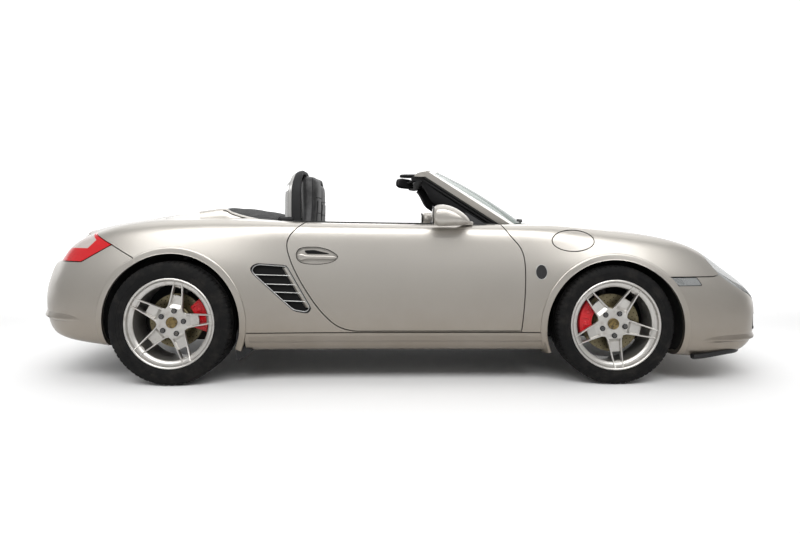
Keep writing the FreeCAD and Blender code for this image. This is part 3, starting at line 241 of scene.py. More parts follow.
def rotor(name, place, height):
    """Cast disc with a worn, bronze braking face, staggered rings of drilled holes painted near-black as
    their shade, and pad scratches.
    """
    f = Finish(name, (0.2, 0.17, 0.1), Metallic=0.9)
    scratches = f.noise(420.0, 3.0, where=f.stretched(1.0, 0.02, 1.0))
    x, z = f.axis(0) - place, f.axis(2) - height
    reach = (x * x + z * z) ** 0.5
    inner, step, holes = 0.106, 0.0135, 24
    ring = (reach - inner) * (1 / step)
    row = ring.maths("FLOOR")
    turn = z.maths("ARCTAN2", x) * (holes / (2 * math.pi)) + row * 0.5
    along = (turn.maths("FRACT") - 0.5) * reach * (2 * math.pi / holes)
    over = (ring.maths("FRACT") - 0.5) * step
    solid = ((along * along + over * over) ** 0.5).above(0.0024, 0.0031)
    # Painted shade: the drilled holes are near-black spots, not openings.
    painted_hole_shade = (1.0 - solid) * reach.above(inner, inner + 0.0001)
    worn = f.ink(f.noise(14.0, 4.0), (0.11, 0.092, 0.05), (0.22, 0.19, 0.12))
    f.set(Base_Color=f.ink(painted_hole_shade, worn, (0.004, 0.004, 0.004)))
    f.set(Roughness=0.32 + scratches * 0.2)
    return f.bump(scratches, 0.00008, 0.5)


def caliper_red():
    """Red brake lacquer with a little wear."""
    f = Finish("caliper_red", (0.55, 0.006, 0.012), Coat_Weight=0.2, Coat_Roughness=0.08)
    f.set(Specular_IOR_Level=0.4)
    f.set(Base_Color=f.ink(f.noise(18.0, 3.0), (0.62, 0.008, 0.014), (0.4, 0.004, 0.008)))
    f.set(Roughness=0.3 + f.noise(60.0) * 0.12)
    return f.bump(f.noise(350.0), 0.00006, 0.5)


def bright_metal():
    """Polished metal with faint wiping marks."""
    f = Finish("bright_metal", (0.78, 0.78, 0.77), Metallic=1.0)
    f.set(Roughness=0.12 + f.noise(40.0, 3.0) * 0.1)
    return f.bump(f.noise(300.0), 0.00002, 0.4)


def satin_metal():
    """Brushed metal: its grain runs along X."""
    f = Finish("satin_metal", (0.5, 0.5, 0.49), Metallic=0.95)
    grain = f.noise(300.0, 2.0, where=f.stretched(0.04, 1.0, 1.0))
    f.set(Roughness=0.3 + grain * 0.2)
    return f.bump(grain, 0.00003, 0.5)


def cast_metal():
    """Rough grey castings and brackets under the car, with road dust."""
    f = Finish("cast_metal", (0.12, 0.12, 0.122), Metallic=0.7)
    dust_and_painted_reflection = f.noise(12.0, 5.0, 0.65)
    f.set(Base_Color=f.ink(dust_and_painted_reflection.above(0.4, 0.8), (0.1, 0.1, 0.102), (0.2, 0.18, 0.155)))
    f.set(Roughness=0.5 + dust_and_painted_reflection * 0.25)
    return f.bump(f.noise(260.0, 4.0), 0.0003, 0.7)


def under_coat():
    """Black protective coating of the floor and wheel wells."""
    f = Finish("under_coat", (0.012, 0.012, 0.012))
    f.set(Base_Color=f.ink(f.noise(6.0, 5.0).above(0.45, 0.8), (0.009, 0.009, 0.009), (0.026, 0.024, 0.022)))
    f.set(Roughness=0.75 + f.noise(25.0) * 0.15)
    return f.bump(f.noise(180.0, 4.0), 0.0006, 0.6)


def green_glass():
    """Screen glass: clear with a green edge tint."""
    f = Finish("green_glass", (0.05, 0.1, 0.075), Roughness=0.02, IOR=1.15)
    f.set(Alpha=0.6 + f.noise(2.0) * 0.05, Roughness=0.02 + f.noise(8.0) * 0.02)
    f.material.surface_render_method = "BLENDED"
    return f


def clear_lens():
    """Clear lamp cover."""
    f = Finish("clear_lens", (0.3, 0.31, 0.31), Roughness=0.03, IOR=1.2)
    f.set(Alpha=0.42 + f.noise(5.0) * 0.05, Roughness=0.03 + f.noise(30.0) * 0.03)
    f.material.surface_render_method = "BLENDED"
    return f


def red_lens():
    """Tail lamp cover: deep red with fine prism ribs inside and a clear area at the top."""
    f = Finish("red_lens", (0.35, 0.004, 0.008), Coat_Weight=0.25, Coat_Roughness=0.05)
    f.set(Specular_IOR_Level=0.35)
    x, z = f.axis(0), f.axis(2)
    ribs = f.node(
        "TexWave", settings={"wave_type": "BANDS", "bands_direction": "Z"}, Vector=f.place(), Scale=60.0,
    )
    clear = (z - x).above(2.467, 2.472) * z.above(0.736, 0.739) * (1.0 - (z + x * 0.868).above(-0.684, -0.68))
    red = f.ink(ribs, (0.3, 0.0025, 0.006), (0.62, 0.012, 0.016))
    f.set(Base_Color=f.ink(clear, red, (0.42, 0.37, 0.35)))
    f.set(Roughness=0.12 + f.noise(50.0) * 0.06)
    return f.bump(ribs, 0.0004, 0.35)


def leather():
    """Black leather: pebbled grain with soft creases and worn, shinier high spots."""
    f = Finish("leather", (0.02, 0.02, 0.021), Specular_IOR_Level=0.45)
    grain = f.cells(420.0)
    crease = f.noise(34.0, 4.0, 0.6)
    f.set(Base_Color=f.ink(crease.above(0.35, 0.8), (0.017, 0.017, 0.018), (0.045, 0.044, 0.044)))
    f.set(Roughness=0.42 + crease * 0.2)
    return f.bump(grain * 0.6 + crease * 0.8, 0.0006, 0.55)


def roof_cloth():
    """Black woven roof fabric."""
    f = Finish("roof_cloth", (0.01, 0.01, 0.011), Sheen_Weight=0.04, Sheen_Roughness=0.5)
    weft = f.node("TexWave", settings={"bands_direction": "X"}, Vector=f.place(), Scale=170.0)
    warp = f.node("TexWave", settings={"bands_direction": "Y"}, Vector=f.place(), Scale=170.0)
    weave = weft * warp
    f.set(Base_Color=f.ink(weave * 0.7 + f.noise(11.0) * 0.3, (0.006, 0.006, 0.007), (0.022, 0.022, 0.023)))
    f.set(Roughness=0.86 + f.noise(20.0) * 0.1)
    return f.bump(weave, 0.0006, 0.7)


def carpet():
    """Black loop carpet."""
    f = Finish("carpet", (0.012, 0.012, 0.012), Sheen_Weight=0.3)
    pile = f.noise(900.0, 4.0, 0.7)
    f.set(Base_Color=f.ink(pile, (0.006, 0.006, 0.006), (0.03, 0.03, 0.03)))
    f.set(Roughness=0.9 + pile * 0.08)
    return f.bump(pile, 0.002, 0.8)


def mirror_glass():
    """Mirror glass."""
    f = Finish("mirror_glass", (0.75, 0.78, 0.8), Metallic=1.0)
    f.set(Roughness=0.02 + f.noise(6.0) * 0.02)
    return f


def hoop_grey():
    """Warm grey lacquer of the hoops' covers."""
    f = Finish("hoop_grey", (0.35, 0.345, 0.335), Metallic=0.4, Coat_Weight=0.3)
    f.set(Roughness=0.3 + f.noise(40.0) * 0.15)
    return f.bump(f.noise(400.0), 0.00005, 0.5)


def bronze():
    """Dull gold lacquer with darker, worn patches."""
    f = Finish("bronze", (0.16, 0.11, 0.04), Metallic=0.8, Coat_Weight=0.3)
    wear = f.noise(70.0, 3.0, 0.6)
    f.set(Base_Color=f.ink(wear.above(0.42, 0.62), (0.2, 0.14, 0.05), (0.06, 0.045, 0.022)))
    f.set(Roughness=0.3 + wear * 0.2)
    return f.bump(f.cells(260.0), 0.0002, 0.4)


def dial_face():
    """Instrument face: dark with a ring of pale scale marks about its own centre, from its UV map."""
    f = Finish("dial_face", (0.012, 0.012, 0.012))
    across = f.node("UVMap")
    u = f.node("SeparateXYZ", output=0, Vector=across) - 0.5
    v = f.node("SeparateXYZ", output=1, Vector=across) - 0.5
    reach = (u * u + v * v) ** 0.5
    turn = v.maths("ARCTAN2", u)
    mark = ((turn * 40.0 / (2 * math.pi)).maths("FRACT") - 0.5).maths("ABSOLUTE").above(0.38, 0.44)
    band = reach.above(0.36, 0.37) * (1.0 - reach.above(0.43, 0.44))
    f.set(Base_Color=f.ink(mark * band, (0.012, 0.012, 0.012), (0.75, 0.75, 0.72)))
    f.set(Roughness=0.35 + f.noise(60.0) * 0.1)
    return f


def floor_paint():
    """Pale studio floor."""
    f = Finish("floor", (0.8, 0.8, 0.8), Emission_Strength=1.0, Specular_IOR_Level=0.2)
    far = f.axis(1).above(0.9, 4.5)
    f.set(Base_Color=f.ink(far, (0.8, 0.8, 0.8), (0.4, 0.4, 0.4)))
    f.set(Emission_Color=f.ink(far, (0.0, 0.0, 0.0), (1.0, 1.0, 1.0)))
    f.set(Roughness=0.6 + f.noise(0.6) * 0.05)
    return f


MAKERS = {
    "silver_paint": silver_paint,
    "black_plastic": plain_black,
    "soft_black": lambda: plain_black("soft_black", (0.01, 0.01, 0.0105), 0.68, 520.0, 0.0003),
    "seal_rubber": lambda: plain_black("seal_rubber", (0.006, 0.006, 0.006), 0.62, 1400.0, 0.00008),
    # This near-black, dull finish is painted shade, put inside openings, pipes and slots where only shade
    # would be.
    "painted_shade_black": lambda: plain_black("painted_shade_black", (0.0015, 0.0015, 0.0015), 0.9, 200.0, 0.0004),
    "gloss_black": gloss_black,
    "tyre_rubber": tyre_rubber,
    "alloy": alloy,
    "front_rotor": lambda: rotor("front_rotor", FRONT_AXLE, FRONT_HUB),
    "rear_rotor": lambda: rotor("rear_rotor", REAR_AXLE, REAR_HUB),
    "caliper_red": caliper_red,
    "bright_metal": bright_metal,
    "satin_metal": satin_metal,
    "cast_metal": cast_metal,
    "under_coat": under_coat,
    "green_glass": green_glass,
    "clear_lens": clear_lens,
    "red_lens": red_lens,
    "leather": leather,
    "roof_cloth": roof_cloth,
    "carpet": carpet,
    "mirror_glass": mirror_glass,
    "hoop_grey": hoop_grey,
    "bronze": bronze,
    "dial_face": dial_face,
    "floor": floor_paint,
}


# Surfaces on grids

def quads(rows, columns, wrap_rows=False, wrap_columns=False):
    """Faces between neighbouring points of a grid, closed round where it wraps."""
    i = np.arange(rows if wrap_rows else rows - 1)
    j = np.arange(columns if wrap_columns else columns - 1)
    i, j = np.meshgrid(i, j, indexing="ij")
    k, m = (i + 1) % rows, (j + 1) % columns
    return np.stack([i * columns + j, k * columns + j, k * columns + m, i * columns + m], -1).reshape(-1, 4)


def fan(row_points, centre, flip):
    """Triangles from one row of points to a centre."""
    first, second = row_points, np.roll(row_points, -1)
    middle = np.full_like(first, centre)
    return np.stack([second, first, middle] if flip else [first, second, middle], -1)


def turns(count):
    """Angles evenly round a circle, the first one not repeated."""
    return np.linspace(0, 2 * np.pi, count, endpoint=False)


def spots(x, y, z):
    """Points from three coordinates that are spread over one grid."""
    return np.stack(np.broadcast_arrays(x, y, z), -1)


def swung(degrees):
    """A turn about the Y axis, upwards from forwards."""
    a = math.radians(degrees)
    return [[math.cos(a), 0, -math.sin(a)], [0, 1, 0], [math.sin(a), 0, math.cos(a)]]


class Shape:
    """Closed parts gathered into one mesh, with the faces of each turned outwards."""

    def __init__(self):
        self.points = []
        self.faces = []
        self.count = 0

    def add(self, points, faces):
        """Adds a closed part. One whose signed volume is below zero is turned right side out."""
        points = np.asarray(points, float).reshape(-1, 3)
        size = 0.0
        for f in faces:
            for a, b in ((1, 2),) if f.shape[1] == 3 else ((1, 2), (2, 3)):
                p, q, r = points[f[:, 0]], points[f[:, a]], points[f[:, b]]
                size += float(np.einsum("ij,ij->i", p, np.cross(q, r)).sum())
        for f in faces:
            self.faces.append((f[:, ::-1] if size < 0 else f) + self.count)
        self.points.append(points)
        self.count += len(points)
        return self

    def tube(self, grid, ring=False):
        """A grid whose columns close round: capped at both ends, or closed on itself as a ring."""
        grid = np.asarray(grid, float)
        rows, columns = grid.shape[:2]
        faces = [quads(rows, columns, wrap_rows=ring, wrap_columns=True)]
        points = grid.reshape(-1, 3)
        if not ring:
            middles = np.stack([grid[0].mean(0), grid[-1].mean(0)])
            last = np.arange(columns)
            faces.append(fan(last, rows * columns, False))
            faces.append(fan(last + (rows - 1) * columns, rows * columns + 1, True))
            points = np.concatenate([points, middles])
        return self.add(points, faces)

    def plate(self, top, drop):
        """A grid with a wall of some thickness below it, given by an offset."""
        top = np.asarray(top, float)
        rows, columns = top.shape[:2]
        low = top + drop
        upper = quads(rows, columns)
        lower = quads(rows, columns)[:, ::-1] + rows * columns
        ids = np.arange(rows * columns).reshape(rows, columns)
        rim = np.concatenate([ids[0, :-1], ids[:-1, -1], ids[-1, :0:-1], ids[:0:-1, 0]])
        after = np.roll(rim, -1)
        wall = np.stack([rim, after, after + rows * columns, rim + rows * columns], -1)
        return self.add(np.concatenate([top.reshape(-1, 3), low.reshape(-1, 3)]), [upper, lower, wall])

    def moved(self, turn=None, shift=(0, 0, 0), mirror=False):
        """The same shape turned, mirrored in Y and shifted."""
        points = [p.copy() for p in self.points]
        if turn is not None:
            points = [p @ np.asarray(turn, float).T for p in points]
        if mirror:
            points = [p * (1, -1, 1) for p in points]
        copy = Shape()
        copy.points = [p + np.asarray(shift, float) for p in points]
        copy.faces = [f[:, ::-1] if mirror else f for f in self.faces]
        copy.count = self.count
        return copy

    def join(self, other):
        """Takes in all the parts of another shape."""
        for f in other.faces:
            self.faces.append(f + self.count)
        self.points += other.points
        self.count += other.count
        return self

    def make(self, name, material, body="chassis", sharp=35.0, uv=None):
        """The finished object, riding on a body."""
        mesh = bpy.data.meshes.new(name)
        faces = [row for f in self.faces for row in f.tolist()]
        mesh.from_pydata(np.concatenate(self.points), [], faces)
        mesh.polygons.foreach_set("use_smooth", np.ones(len(mesh.polygons), bool))
        mesh.set_sharp_from_angle(angle=math.radians(sharp))
        mesh.update()
        if uv is not None:
            layer = mesh.uv_layers.new(name="UVMap")
            corner = np.zeros(len(mesh.loops), np.int32)
            mesh.loops.foreach_get("vertex_index", corner)
            layer.data.foreach_set("uv", np.asarray(uv, np.float32)[corner].ravel())
        item = bpy.data.objects.new(name, mesh)
        bpy.context.scene.collection.objects.link(item)
        mesh.materials.append(finish(material))
        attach(item, body)
        return item


def spread(low, high, count):
    """Evenly spaced values, both ends included."""
    return np.linspace(low, high, count)


def through(points, count):
    """A smooth curve through points (Catmull-Rom), sampled evenly in its own parameter."""
    p = np.asarray(points, float)
    p = np.concatenate([2 * p[:1] - p[1:2], p, 2 * p[-1:] - p[-2:-1]])
    t = np.linspace(0, len(p) - 3 - 1e-9, count)
    i = t.astype(int)
    f = (t - i)[:, None]
    a, b, c, d = p[i], p[i + 1], p[i + 2], p[i + 3]
    return 0.5 * (2 * b + (c - a) * f + (2 * a - 5 * b + 4 * c - d) * f**2 + (3 * b - a - 3 * c + d) * f**3)


def carried(path, section, up=(0, 0, 1), ring=False):
    """A profile carried along a path: section points are (sideways, upwards) in metres."""
    path = np.asarray(path, float)
    if ring:
        ahead = np.roll(path, -1, 0) - np.roll(path, 1, 0)
    else:
        ahead = np.gradient(path, axis=0)
    ahead /= np.linalg.norm(ahead, axis=1)[:, None]
    side = np.cross(ahead, np.broadcast_to(np.asarray(up, float), ahead.shape))
    side /= np.maximum(np.linalg.norm(side, axis=1)[:, None], 1e-9)
    top = np.cross(side, ahead)
    section = np.asarray(section, float)
    return path[:, None] + section[None, :, :1] * side[:, None] + section[None, :, 1:] * top[:, None]


def round_section(radius, count=12, flat=1.0):
    """An ellipse as a profile: flat is its height as a share of its width."""
    a = turns(count)
    return np.stack([radius * np.cos(a), radius * flat * np.sin(a)], -1)


def turned(profile, count=96, axis="Y"):
    """A profile of (along, radius) turned about an axis, as a grid of angle by profile point."""
    profile = np.asarray(profile, float)
    a = turns(count)[:, None]
    along, radius = profile[None, :, 0] + 0 * a, profile[None, :, 1]
    c, s = radius * np.cos(a), radius * np.sin(a)
    order = {"X": (along, c, s), "Y": (c, along, s), "Z": (c, s, along)}[axis]
    return np.stack(order, -1)


def lathe(profile, count=96, axis="Y", along=0.0):
    """A closed body turned from a profile that starts and ends on the axis, or closes on itself."""
    profile = np.asarray(profile, float) + (along, 0)
    shape = Shape()
    if profile[0, 1] < 1e-6 and profile[-1, 1] < 1e-6:
        grid = turned(profile[1:-1], count, axis).transpose(1, 0, 2)
        rows, columns = grid.shape[:2]
        poles = turned(profile[[0, -1]], 1, axis)[0]
        around = np.arange(columns)
        faces = [
            quads(rows, columns, wrap_columns=True),
            fan(around, rows * columns, False),
            fan(around + (rows - 1) * columns, rows * columns + 1, True),
        ]
        return shape.add(np.concatenate([grid.reshape(-1, 3), poles]), faces)
    return shape.tube(turned(profile, count, axis), ring=True)


def rounded(size, centre=(0, 0, 0), power=4.0, rows=24, columns=40):
    """A block with soft edges: |x/a|^n + |y/b|^n + |z/c|^n = 1, n being the power."""
    v = np.linspace(-np.pi / 2, np.pi / 2, rows + 2)[1:-1][:, None]
    u = turns(columns)[None]

    def bent(value):
        return np.sign(value) * np.abs(value) ** (2 / power)

    grid = spots(bent(np.cos(v)) * bent(np.cos(u)), bent(np.cos(v)) * bent(np.sin(u)), bent(np.sin(v)))
    half = np.asarray(size, float) / 2
    return Shape().tube(grid * half + np.asarray(centre, float))


def loop(count, power=2.0):
    """A unit closed curve |x|^n + |y|^n = 1, n being the power."""
    a = turns(count)
    c, s = np.cos(a), np.sin(a)
    return np.stack([np.sign(c) * np.abs(c) ** (2 / power), np.sign(s) * np.abs(s) ** (2 / power)], -1)


def ramp(value, low, high):
    """0 at low, 1 at high and smooth between: 3 s^2 - 2 s^3, s being the share of the way."""
    share = np.clip((value - low) / (high - low), 0, 1)
    return share * share * (3 - 2 * share)


def pair(shape, name, material, body="chassis", **settings):
    """Makes a left piece and its mirror image on the right; {side} in the body stands for the side."""
    return [
        shape.moved(mirror=side == "right").make(
            f"{side}_{name}", material, body.format(side=side), **settings
        )
        for side in SIDES
    ]


# The body's own surface

BESIDE, BEYOND = 3.0, 4.0
LEAST_REACH = 0.4


class Skin:
    """The outside of some CAD nodes, met by rays from outside."""

    def __init__(self, names):
        points, faces = [], []
        for name in names:
            mesh = NODES[name].data
            start = len(points)
            points += [v.co.copy() for v in mesh.vertices]
            faces += [[start + i for i in p.vertices] for p in mesh.polygons]
        self.tree = BVHTree.FromPolygons(points, faces)

    def meet(self, starts, aim, axis, good):
        """The coordinate on one axis where each ray meets the skin; misses are filled along the rows."""
        hits = [self.tree.ray_cast(Vector(start), Vector(aim))[0] for start in starts.reshape(-1, 3)]
        found = np.array([hit[axis] if hit else np.nan for hit in hits]).reshape(starts.shape[:-1])
        return steady(np.where(good(found), found, np.nan))

    def sides(self, xs, zs, sign, lift=0.0):
        """Points on the side of the skin, lifted outwards."""
        xs, zs = np.broadcast_arrays(np.asarray(xs, float), np.asarray(zs, float))
        starts = np.stack([xs, np.full(xs.shape, BESIDE * sign), zs], -1)
        ys = self.meet(starts, (0, -sign, 0), 1, lambda y: y * sign > LEAST_REACH)
        return np.stack([xs, ys + sign * lift, zs], -1)

    def tops(self, xs, ys, lift=0.0):
        """Points on the top of the skin, lifted upwards."""
        xs, ys = np.broadcast_arrays(np.asarray(xs, float), np.asarray(ys, float))
        starts = np.stack([xs, ys, np.full(xs.shape, BESIDE)], -1)
        zs = self.meet(starts, (0, 0, -1), 2, lambda z: z > LEAST_REACH)
        return np.stack([xs, ys, zs + lift], -1)

    def ends(self, ys, zs, end, lift=0.0):
        """Points on the nose (end 1) or the tail (end -1), lifted outwards."""
        ys, zs = np.broadcast_arrays(np.asarray(ys, float), np.asarray(zs, float))
        starts = np.stack([np.full(ys.shape, BEYOND * end), ys, zs], -1)
        xs = self.meet(starts, (-end, 0, 0), 0, lambda x: x * end > 1.5)
        return np.stack([xs + end * lift, ys, zs], -1)

    def bow(self, middle, angles, z, lift=0.0):
        """Points round the nose or tail at one height, met by level rays towards the middle line."""
        out = np.stack([np.cos(angles), np.sin(angles), 0 * angles], -1)
        reach = []
        for aim in out:
            start = Vector(aim * BESIDE + (middle, 0, z))
            hit = self.tree.ray_cast(start, Vector(-aim))[0]
            reach.append(np.nan if hit is None else math.hypot(hit.x - middle, hit.y))
        reach = np.array(reach)
        reach = steady(np.where(reach > 0.5, reach, np.nan))
        return np.array((middle, 0, z)) + out * (reach + lift)[:, None]

    def fit(self, xs, zs, sign, margin=0.05):
        """A surface of third degree through the side of the skin round a region, which spans its openings."""
        gx, gz = np.meshgrid(
            spread(np.min(xs) - margin, np.max(xs) + margin, 18),
            spread(np.min(zs) - margin, np.max(zs) + margin, 18),
        )
        hits = [self.tree.ray_cast(Vector((x, BESIDE * sign, z)), Vector((0, -sign, 0)))[0]
                for x, z in zip(gx.ravel(), gz.ravel())]
        found = np.array([hit.y * sign if hit else np.nan for hit in hits])
        mx, mz = np.mean(gx), np.mean(gz)

        def terms(x, z):
            x, z = x - mx, z - mz
            return np.stack([x**i * z**j for i in range(4) for j in range(4 - i)], -1)

        table = terms(gx.ravel(), gz.ravel())
        use = found > LEAST_REACH
        for _ in range(6):
            weights = np.linalg.lstsq(table[use], found[use], rcond=None)[0]
            use = (found > LEAST_REACH) & (np.abs(found - table @ weights) < 0.004)
        return lambda x, z, lift=0.0: spots(x, sign * (terms(x, z) @ weights + lift), z)


def steady(values):
    """Fills misses and evens out drops into shut lines, along the first axis."""
    table = np.array(values, float).reshape(len(values), -1)
    rows = np.arange(len(table))
    for column in table.T:
        good = np.isfinite(column)
        if good.any():
            column[:] = np.interp(rows, rows[good], column[good])
    reach = 3
    padded = np.pad(table, ((reach, reach), (0, 0)), mode="edge")
    windows = np.stack([padded[k:k + len(table)] for k in range(2 * reach + 1)])
    return np.median(windows, axis=0).reshape(np.shape(values))


def outline(points, count=160, soft=5):
    """Points evenly round a closed outline, with corners rounded by averaging neighbours."""
    p = np.asarray(points, float)
    p = np.concatenate([p, p[:1]])
    run = np.concatenate([[0], np.cumsum(np.linalg.norm(np.diff(p, axis=0), axis=1))])
    t = np.linspace(0, run[-1], count, endpoint=False)
    ring = np.stack([np.interp(t, run, p[:, k]) for k in range(p.shape[1])], -1)
    return sum(np.roll(ring, k, axis=0) for k in range(-soft, soft + 1)) / (2 * soft + 1)


def shrunk(ring, share):
    """A ring drawn in towards its middle."""
    middle = ring.mean(0)
    return middle + (ring - middle) * share


def capped(ring, surface, low, high):
    """A flat piece that fills a ring on a surface between two lifts."""
    shares = spread(0.04, 1, 8)
    top = [surface(*shrunk(ring, share).T, high) for share in shares]
    under = [surface(*shrunk(ring, share).T, low) for share in shares[::-1]]
    return Shape().tube(np.stack(top + under))


def corded(path, radius, count=10, flat=1.0, up=(0, 0, 1), ring=True):
    """A round cord along a path."""
    return Shape().tube(carried(path, round_section(radius, count, flat), up=up, ring=ring), ring=ring)


PANELS = [
    "front_bumper", "rear_bumper", "right_front_fender", "left_front_fender", "right_rear_quarter",
    "left_rear_quarter", "right_sill", "left_sill", "right_door", "left_door", "front_lid", "rear_lid",
    "roof_lid", "filler_lid", "cowl", "headlamps", "tail_lamps",
]
SKIN = Skin(PANELS)


# Wheels and brakes

def on_wheel(shape, axle, side, spin=0.0):
    """Puts a shape made about the origin, outer face towards +Y, on its hub."""
    gear = getattr(bpy.context.scene, f"car_{axle}_wheel")
    x = FRONT_AXLE if axle == "front" else REAR_AXLE
    shift = (x, SIDES[side] * gear.track / 2, gear.tyre_radius)
    return shape.moved(swung(spin), shift, mirror=side == "right")


class WheelSizes(bpy.types.PropertyGroup):
    """Sizes of one axle's wheels and tyres"""
    track: bpy.props.FloatProperty(
        name="Track", description="Distance between the wheels' middles",
        default=1.486, unit="LENGTH",
    )
    tyre_radius: bpy.props.FloatProperty(
        name="Tyre radius", description="Radius of the tread",
        default=FRONT_HUB, unit="LENGTH",
    )
    tyre_width: bpy.props.FloatProperty(
        name="Tyre width", description="Width over the sidewalls",
        default=0.235, unit="LENGTH",
    )
    rim_width: bpy.props.FloatProperty(
        name="Rim width", description="Width over the rim's flanges",
        default=0.228, unit="LENGTH",
    )
    disc_radius: bpy.props.FloatProperty(
        name="Disc radius", description="Radius of the brake disc",
        default=0.159, unit="LENGTH",
    )
    disc_face: bpy.props.FloatProperty(
        name="Disc face", description="Place of the disc's outer face from the wheel's middle",
        default=0.012, unit="LENGTH",
    )
    spoke_angle: bpy.props.FloatProperty(
        name="Spoke angle", description="Angle of one spoke from forwards, in degrees, upwards positive",
        default=-85.2,
    )


class Colours(bpy.types.PropertyGroup):
    """Colours that a user would change"""
    paint: bpy.props.FloatVectorProperty(
        name="Paint", description="Body colour", default=(0.43, 0.408, 0.375), size=3, min=0, max=1,
        subtype="COLOR",
    )


def rim_shape(half):
    """The rim's barrel and flanges: one closed profile turned about the axle."""
    profile = [
        (half - 0.001, 0.238), (half, 0.2415), (half - 0.002, 0.245), (half - 0.009, 0.246),
        (half - 0.03, 0.2445), (-half + 0.03, 0.2445), (-half + 0.009, 0.246), (-half, 0.243),
        (-half + 0.001, 0.236), (-half + 0.02, 0.212), (-half + 0.04, 0.207), (half - 0.05, 0.2035),
        (half - 0.03, 0.205), (half - 0.022, 0.212), (half - 0.0185, 0.221), (half - 0.0175, 0.227),
        (half - 0.012, 0.2305), (half - 0.006, 0.2325), (half - 0.003, 0.235),
    ]
    return lathe(profile, 180)


def spoke_width(r):
    """Half width of a spoke at a radius: it narrows outwards and flares into its neighbours at the hub."""
    outer, outer_half, taper = 0.222, 0.0266, 0.1
    root, flare, fade = 0.067, 0.008, 0.008
    return outer_half + taper * (outer - r) + flare * np.exp(-(r - root) / fade)


def spoke_top(r, half):
    """Height of a spoke's face at a radius: dished at the hub and rising to the flange."""
    places = [0, 0.06, 0.1, 0.15, 0.2, 0.225, 0.24]
    return half + np.interp(r, places, [-HUB_SUNK, -HUB_SUNK, -0.046, -0.036, -0.0225, -0.012, -0.0035])


def spoke_parts(half):
    """One twin spoke along +X: rails at its edges, a sunk floor between them and a slot right through."""
    shape = Shape()
    deep = 0.024

    def full(r, depth):
        width, top = np.minimum(spoke_width(r), r * math.tan(math.radians(36.0))), spoke_top(r, half)
        sunk = depth * ramp(r, 0.074, 0.104)
        lip = np.minimum(0.0098, width * 0.3)
        bevel = np.clip((r - 0.07) / 0.02, 0, 1)
        across = [
            (-width, -0.003 * bevel), (-width + 0.0016, -0.0006 * bevel), (-width + 0.0032, 0 * r),
            (-width + lip - 0.0012, 0 * r), (-width + lip + 0.002, -sunk), (-0.4 * width, -sunk),
            (0 * r, -sunk), (0.4 * width, -sunk), (width - lip - 0.002, -sunk), (width - lip + 0.0012, 0 * r),
            (width - 0.0032, 0 * r), (width - 0.0016, -0.0006 * bevel), (width, -0.003 * bevel),
            (width * 0.96, -deep + 0 * r), (-width * 0.96, -deep + 0 * r),
        ]
        return np.stack([spots(r, top + drop, side) for side, drop in across], 1)

    shape.tube(full(spread(0.016, 0.151, 44), 0.017))
    shape.tube(full(spread(0.197, 0.24, 14), 0.012))
    r = spread(0.15, 0.198, 12)
    width, top = spoke_width(r), spoke_top(r, half)
    for sign in (1, -1):
        across = [
            (width, -0.003), (width - 0.0016, -0.0006), (width - 0.0032, 0), (width - 0.0078, 0),
            (width - 0.01, -0.008), (width - 0.01, -deep), (width * 0.96, -deep),
        ]
        shape.tube(np.stack([spots(r, top + drop, sign * side) for side, drop in across], 1))
    return shape


def bolt_shape(half):
    """A wheel bolt in its well, on the hub's face: two turned profiles. The well is black as painted shade of
    the recess round the bolt.
    """
    well = [
        (-0.01, 0), (-0.01, 0.0148), (0.005, 0.015), (0.0056, 0.0142), (0.0052, 0.0128), (0.0036, 0.0105),
        (0.0036, 0),
    ]
    head = [
        (-0.005, 0), (-0.005, 0.0088), (0.0066, 0.0088), (0.0076, 0.0078), (0.0076, 0.0052), (0.004, 0.005),
        (0.004, 0),
    ]
    return lathe(well, 36, along=half - HUB_SUNK), lathe(head, 24, along=half - HUB_SUNK)


def cap_shape(half):
    """The hub cap: a shallow turned bowl with a raised rim."""
    profile = [
        (-0.012, 0), (-0.012, 0.03), (0.0055, 0.031), (0.0072, 0.0305), (0.0078, 0.0285), (0.0058, 0.0262),
        (0.0072, 0.02), (0.0082, 0.01), (0.0085, 0),
    ]
    return lathe(profile, 60, along=half - HUB_SUNK)


def disc_shape(gear):
    """The brake disc: two rings with a gap between them, and the bell that joins them to the hub."""
    edge = gear.disc_radius
    profile = [
        (-0.028, 0.072), (-0.028, edge), (-0.018, edge), (-0.018, edge - 0.006), (-0.01, edge - 0.006),
        (-0.01, edge), (0, edge), (0, 0.1), (-0.002, 0.097), (-0.002, 0.09), (0.03, 0.086), (0.034, 0.08),
        (0.034, 0.06), (0.02, 0.06), (0.018, 0.072),
    ]
    return lathe(profile, 120, along=gear.disc_face)


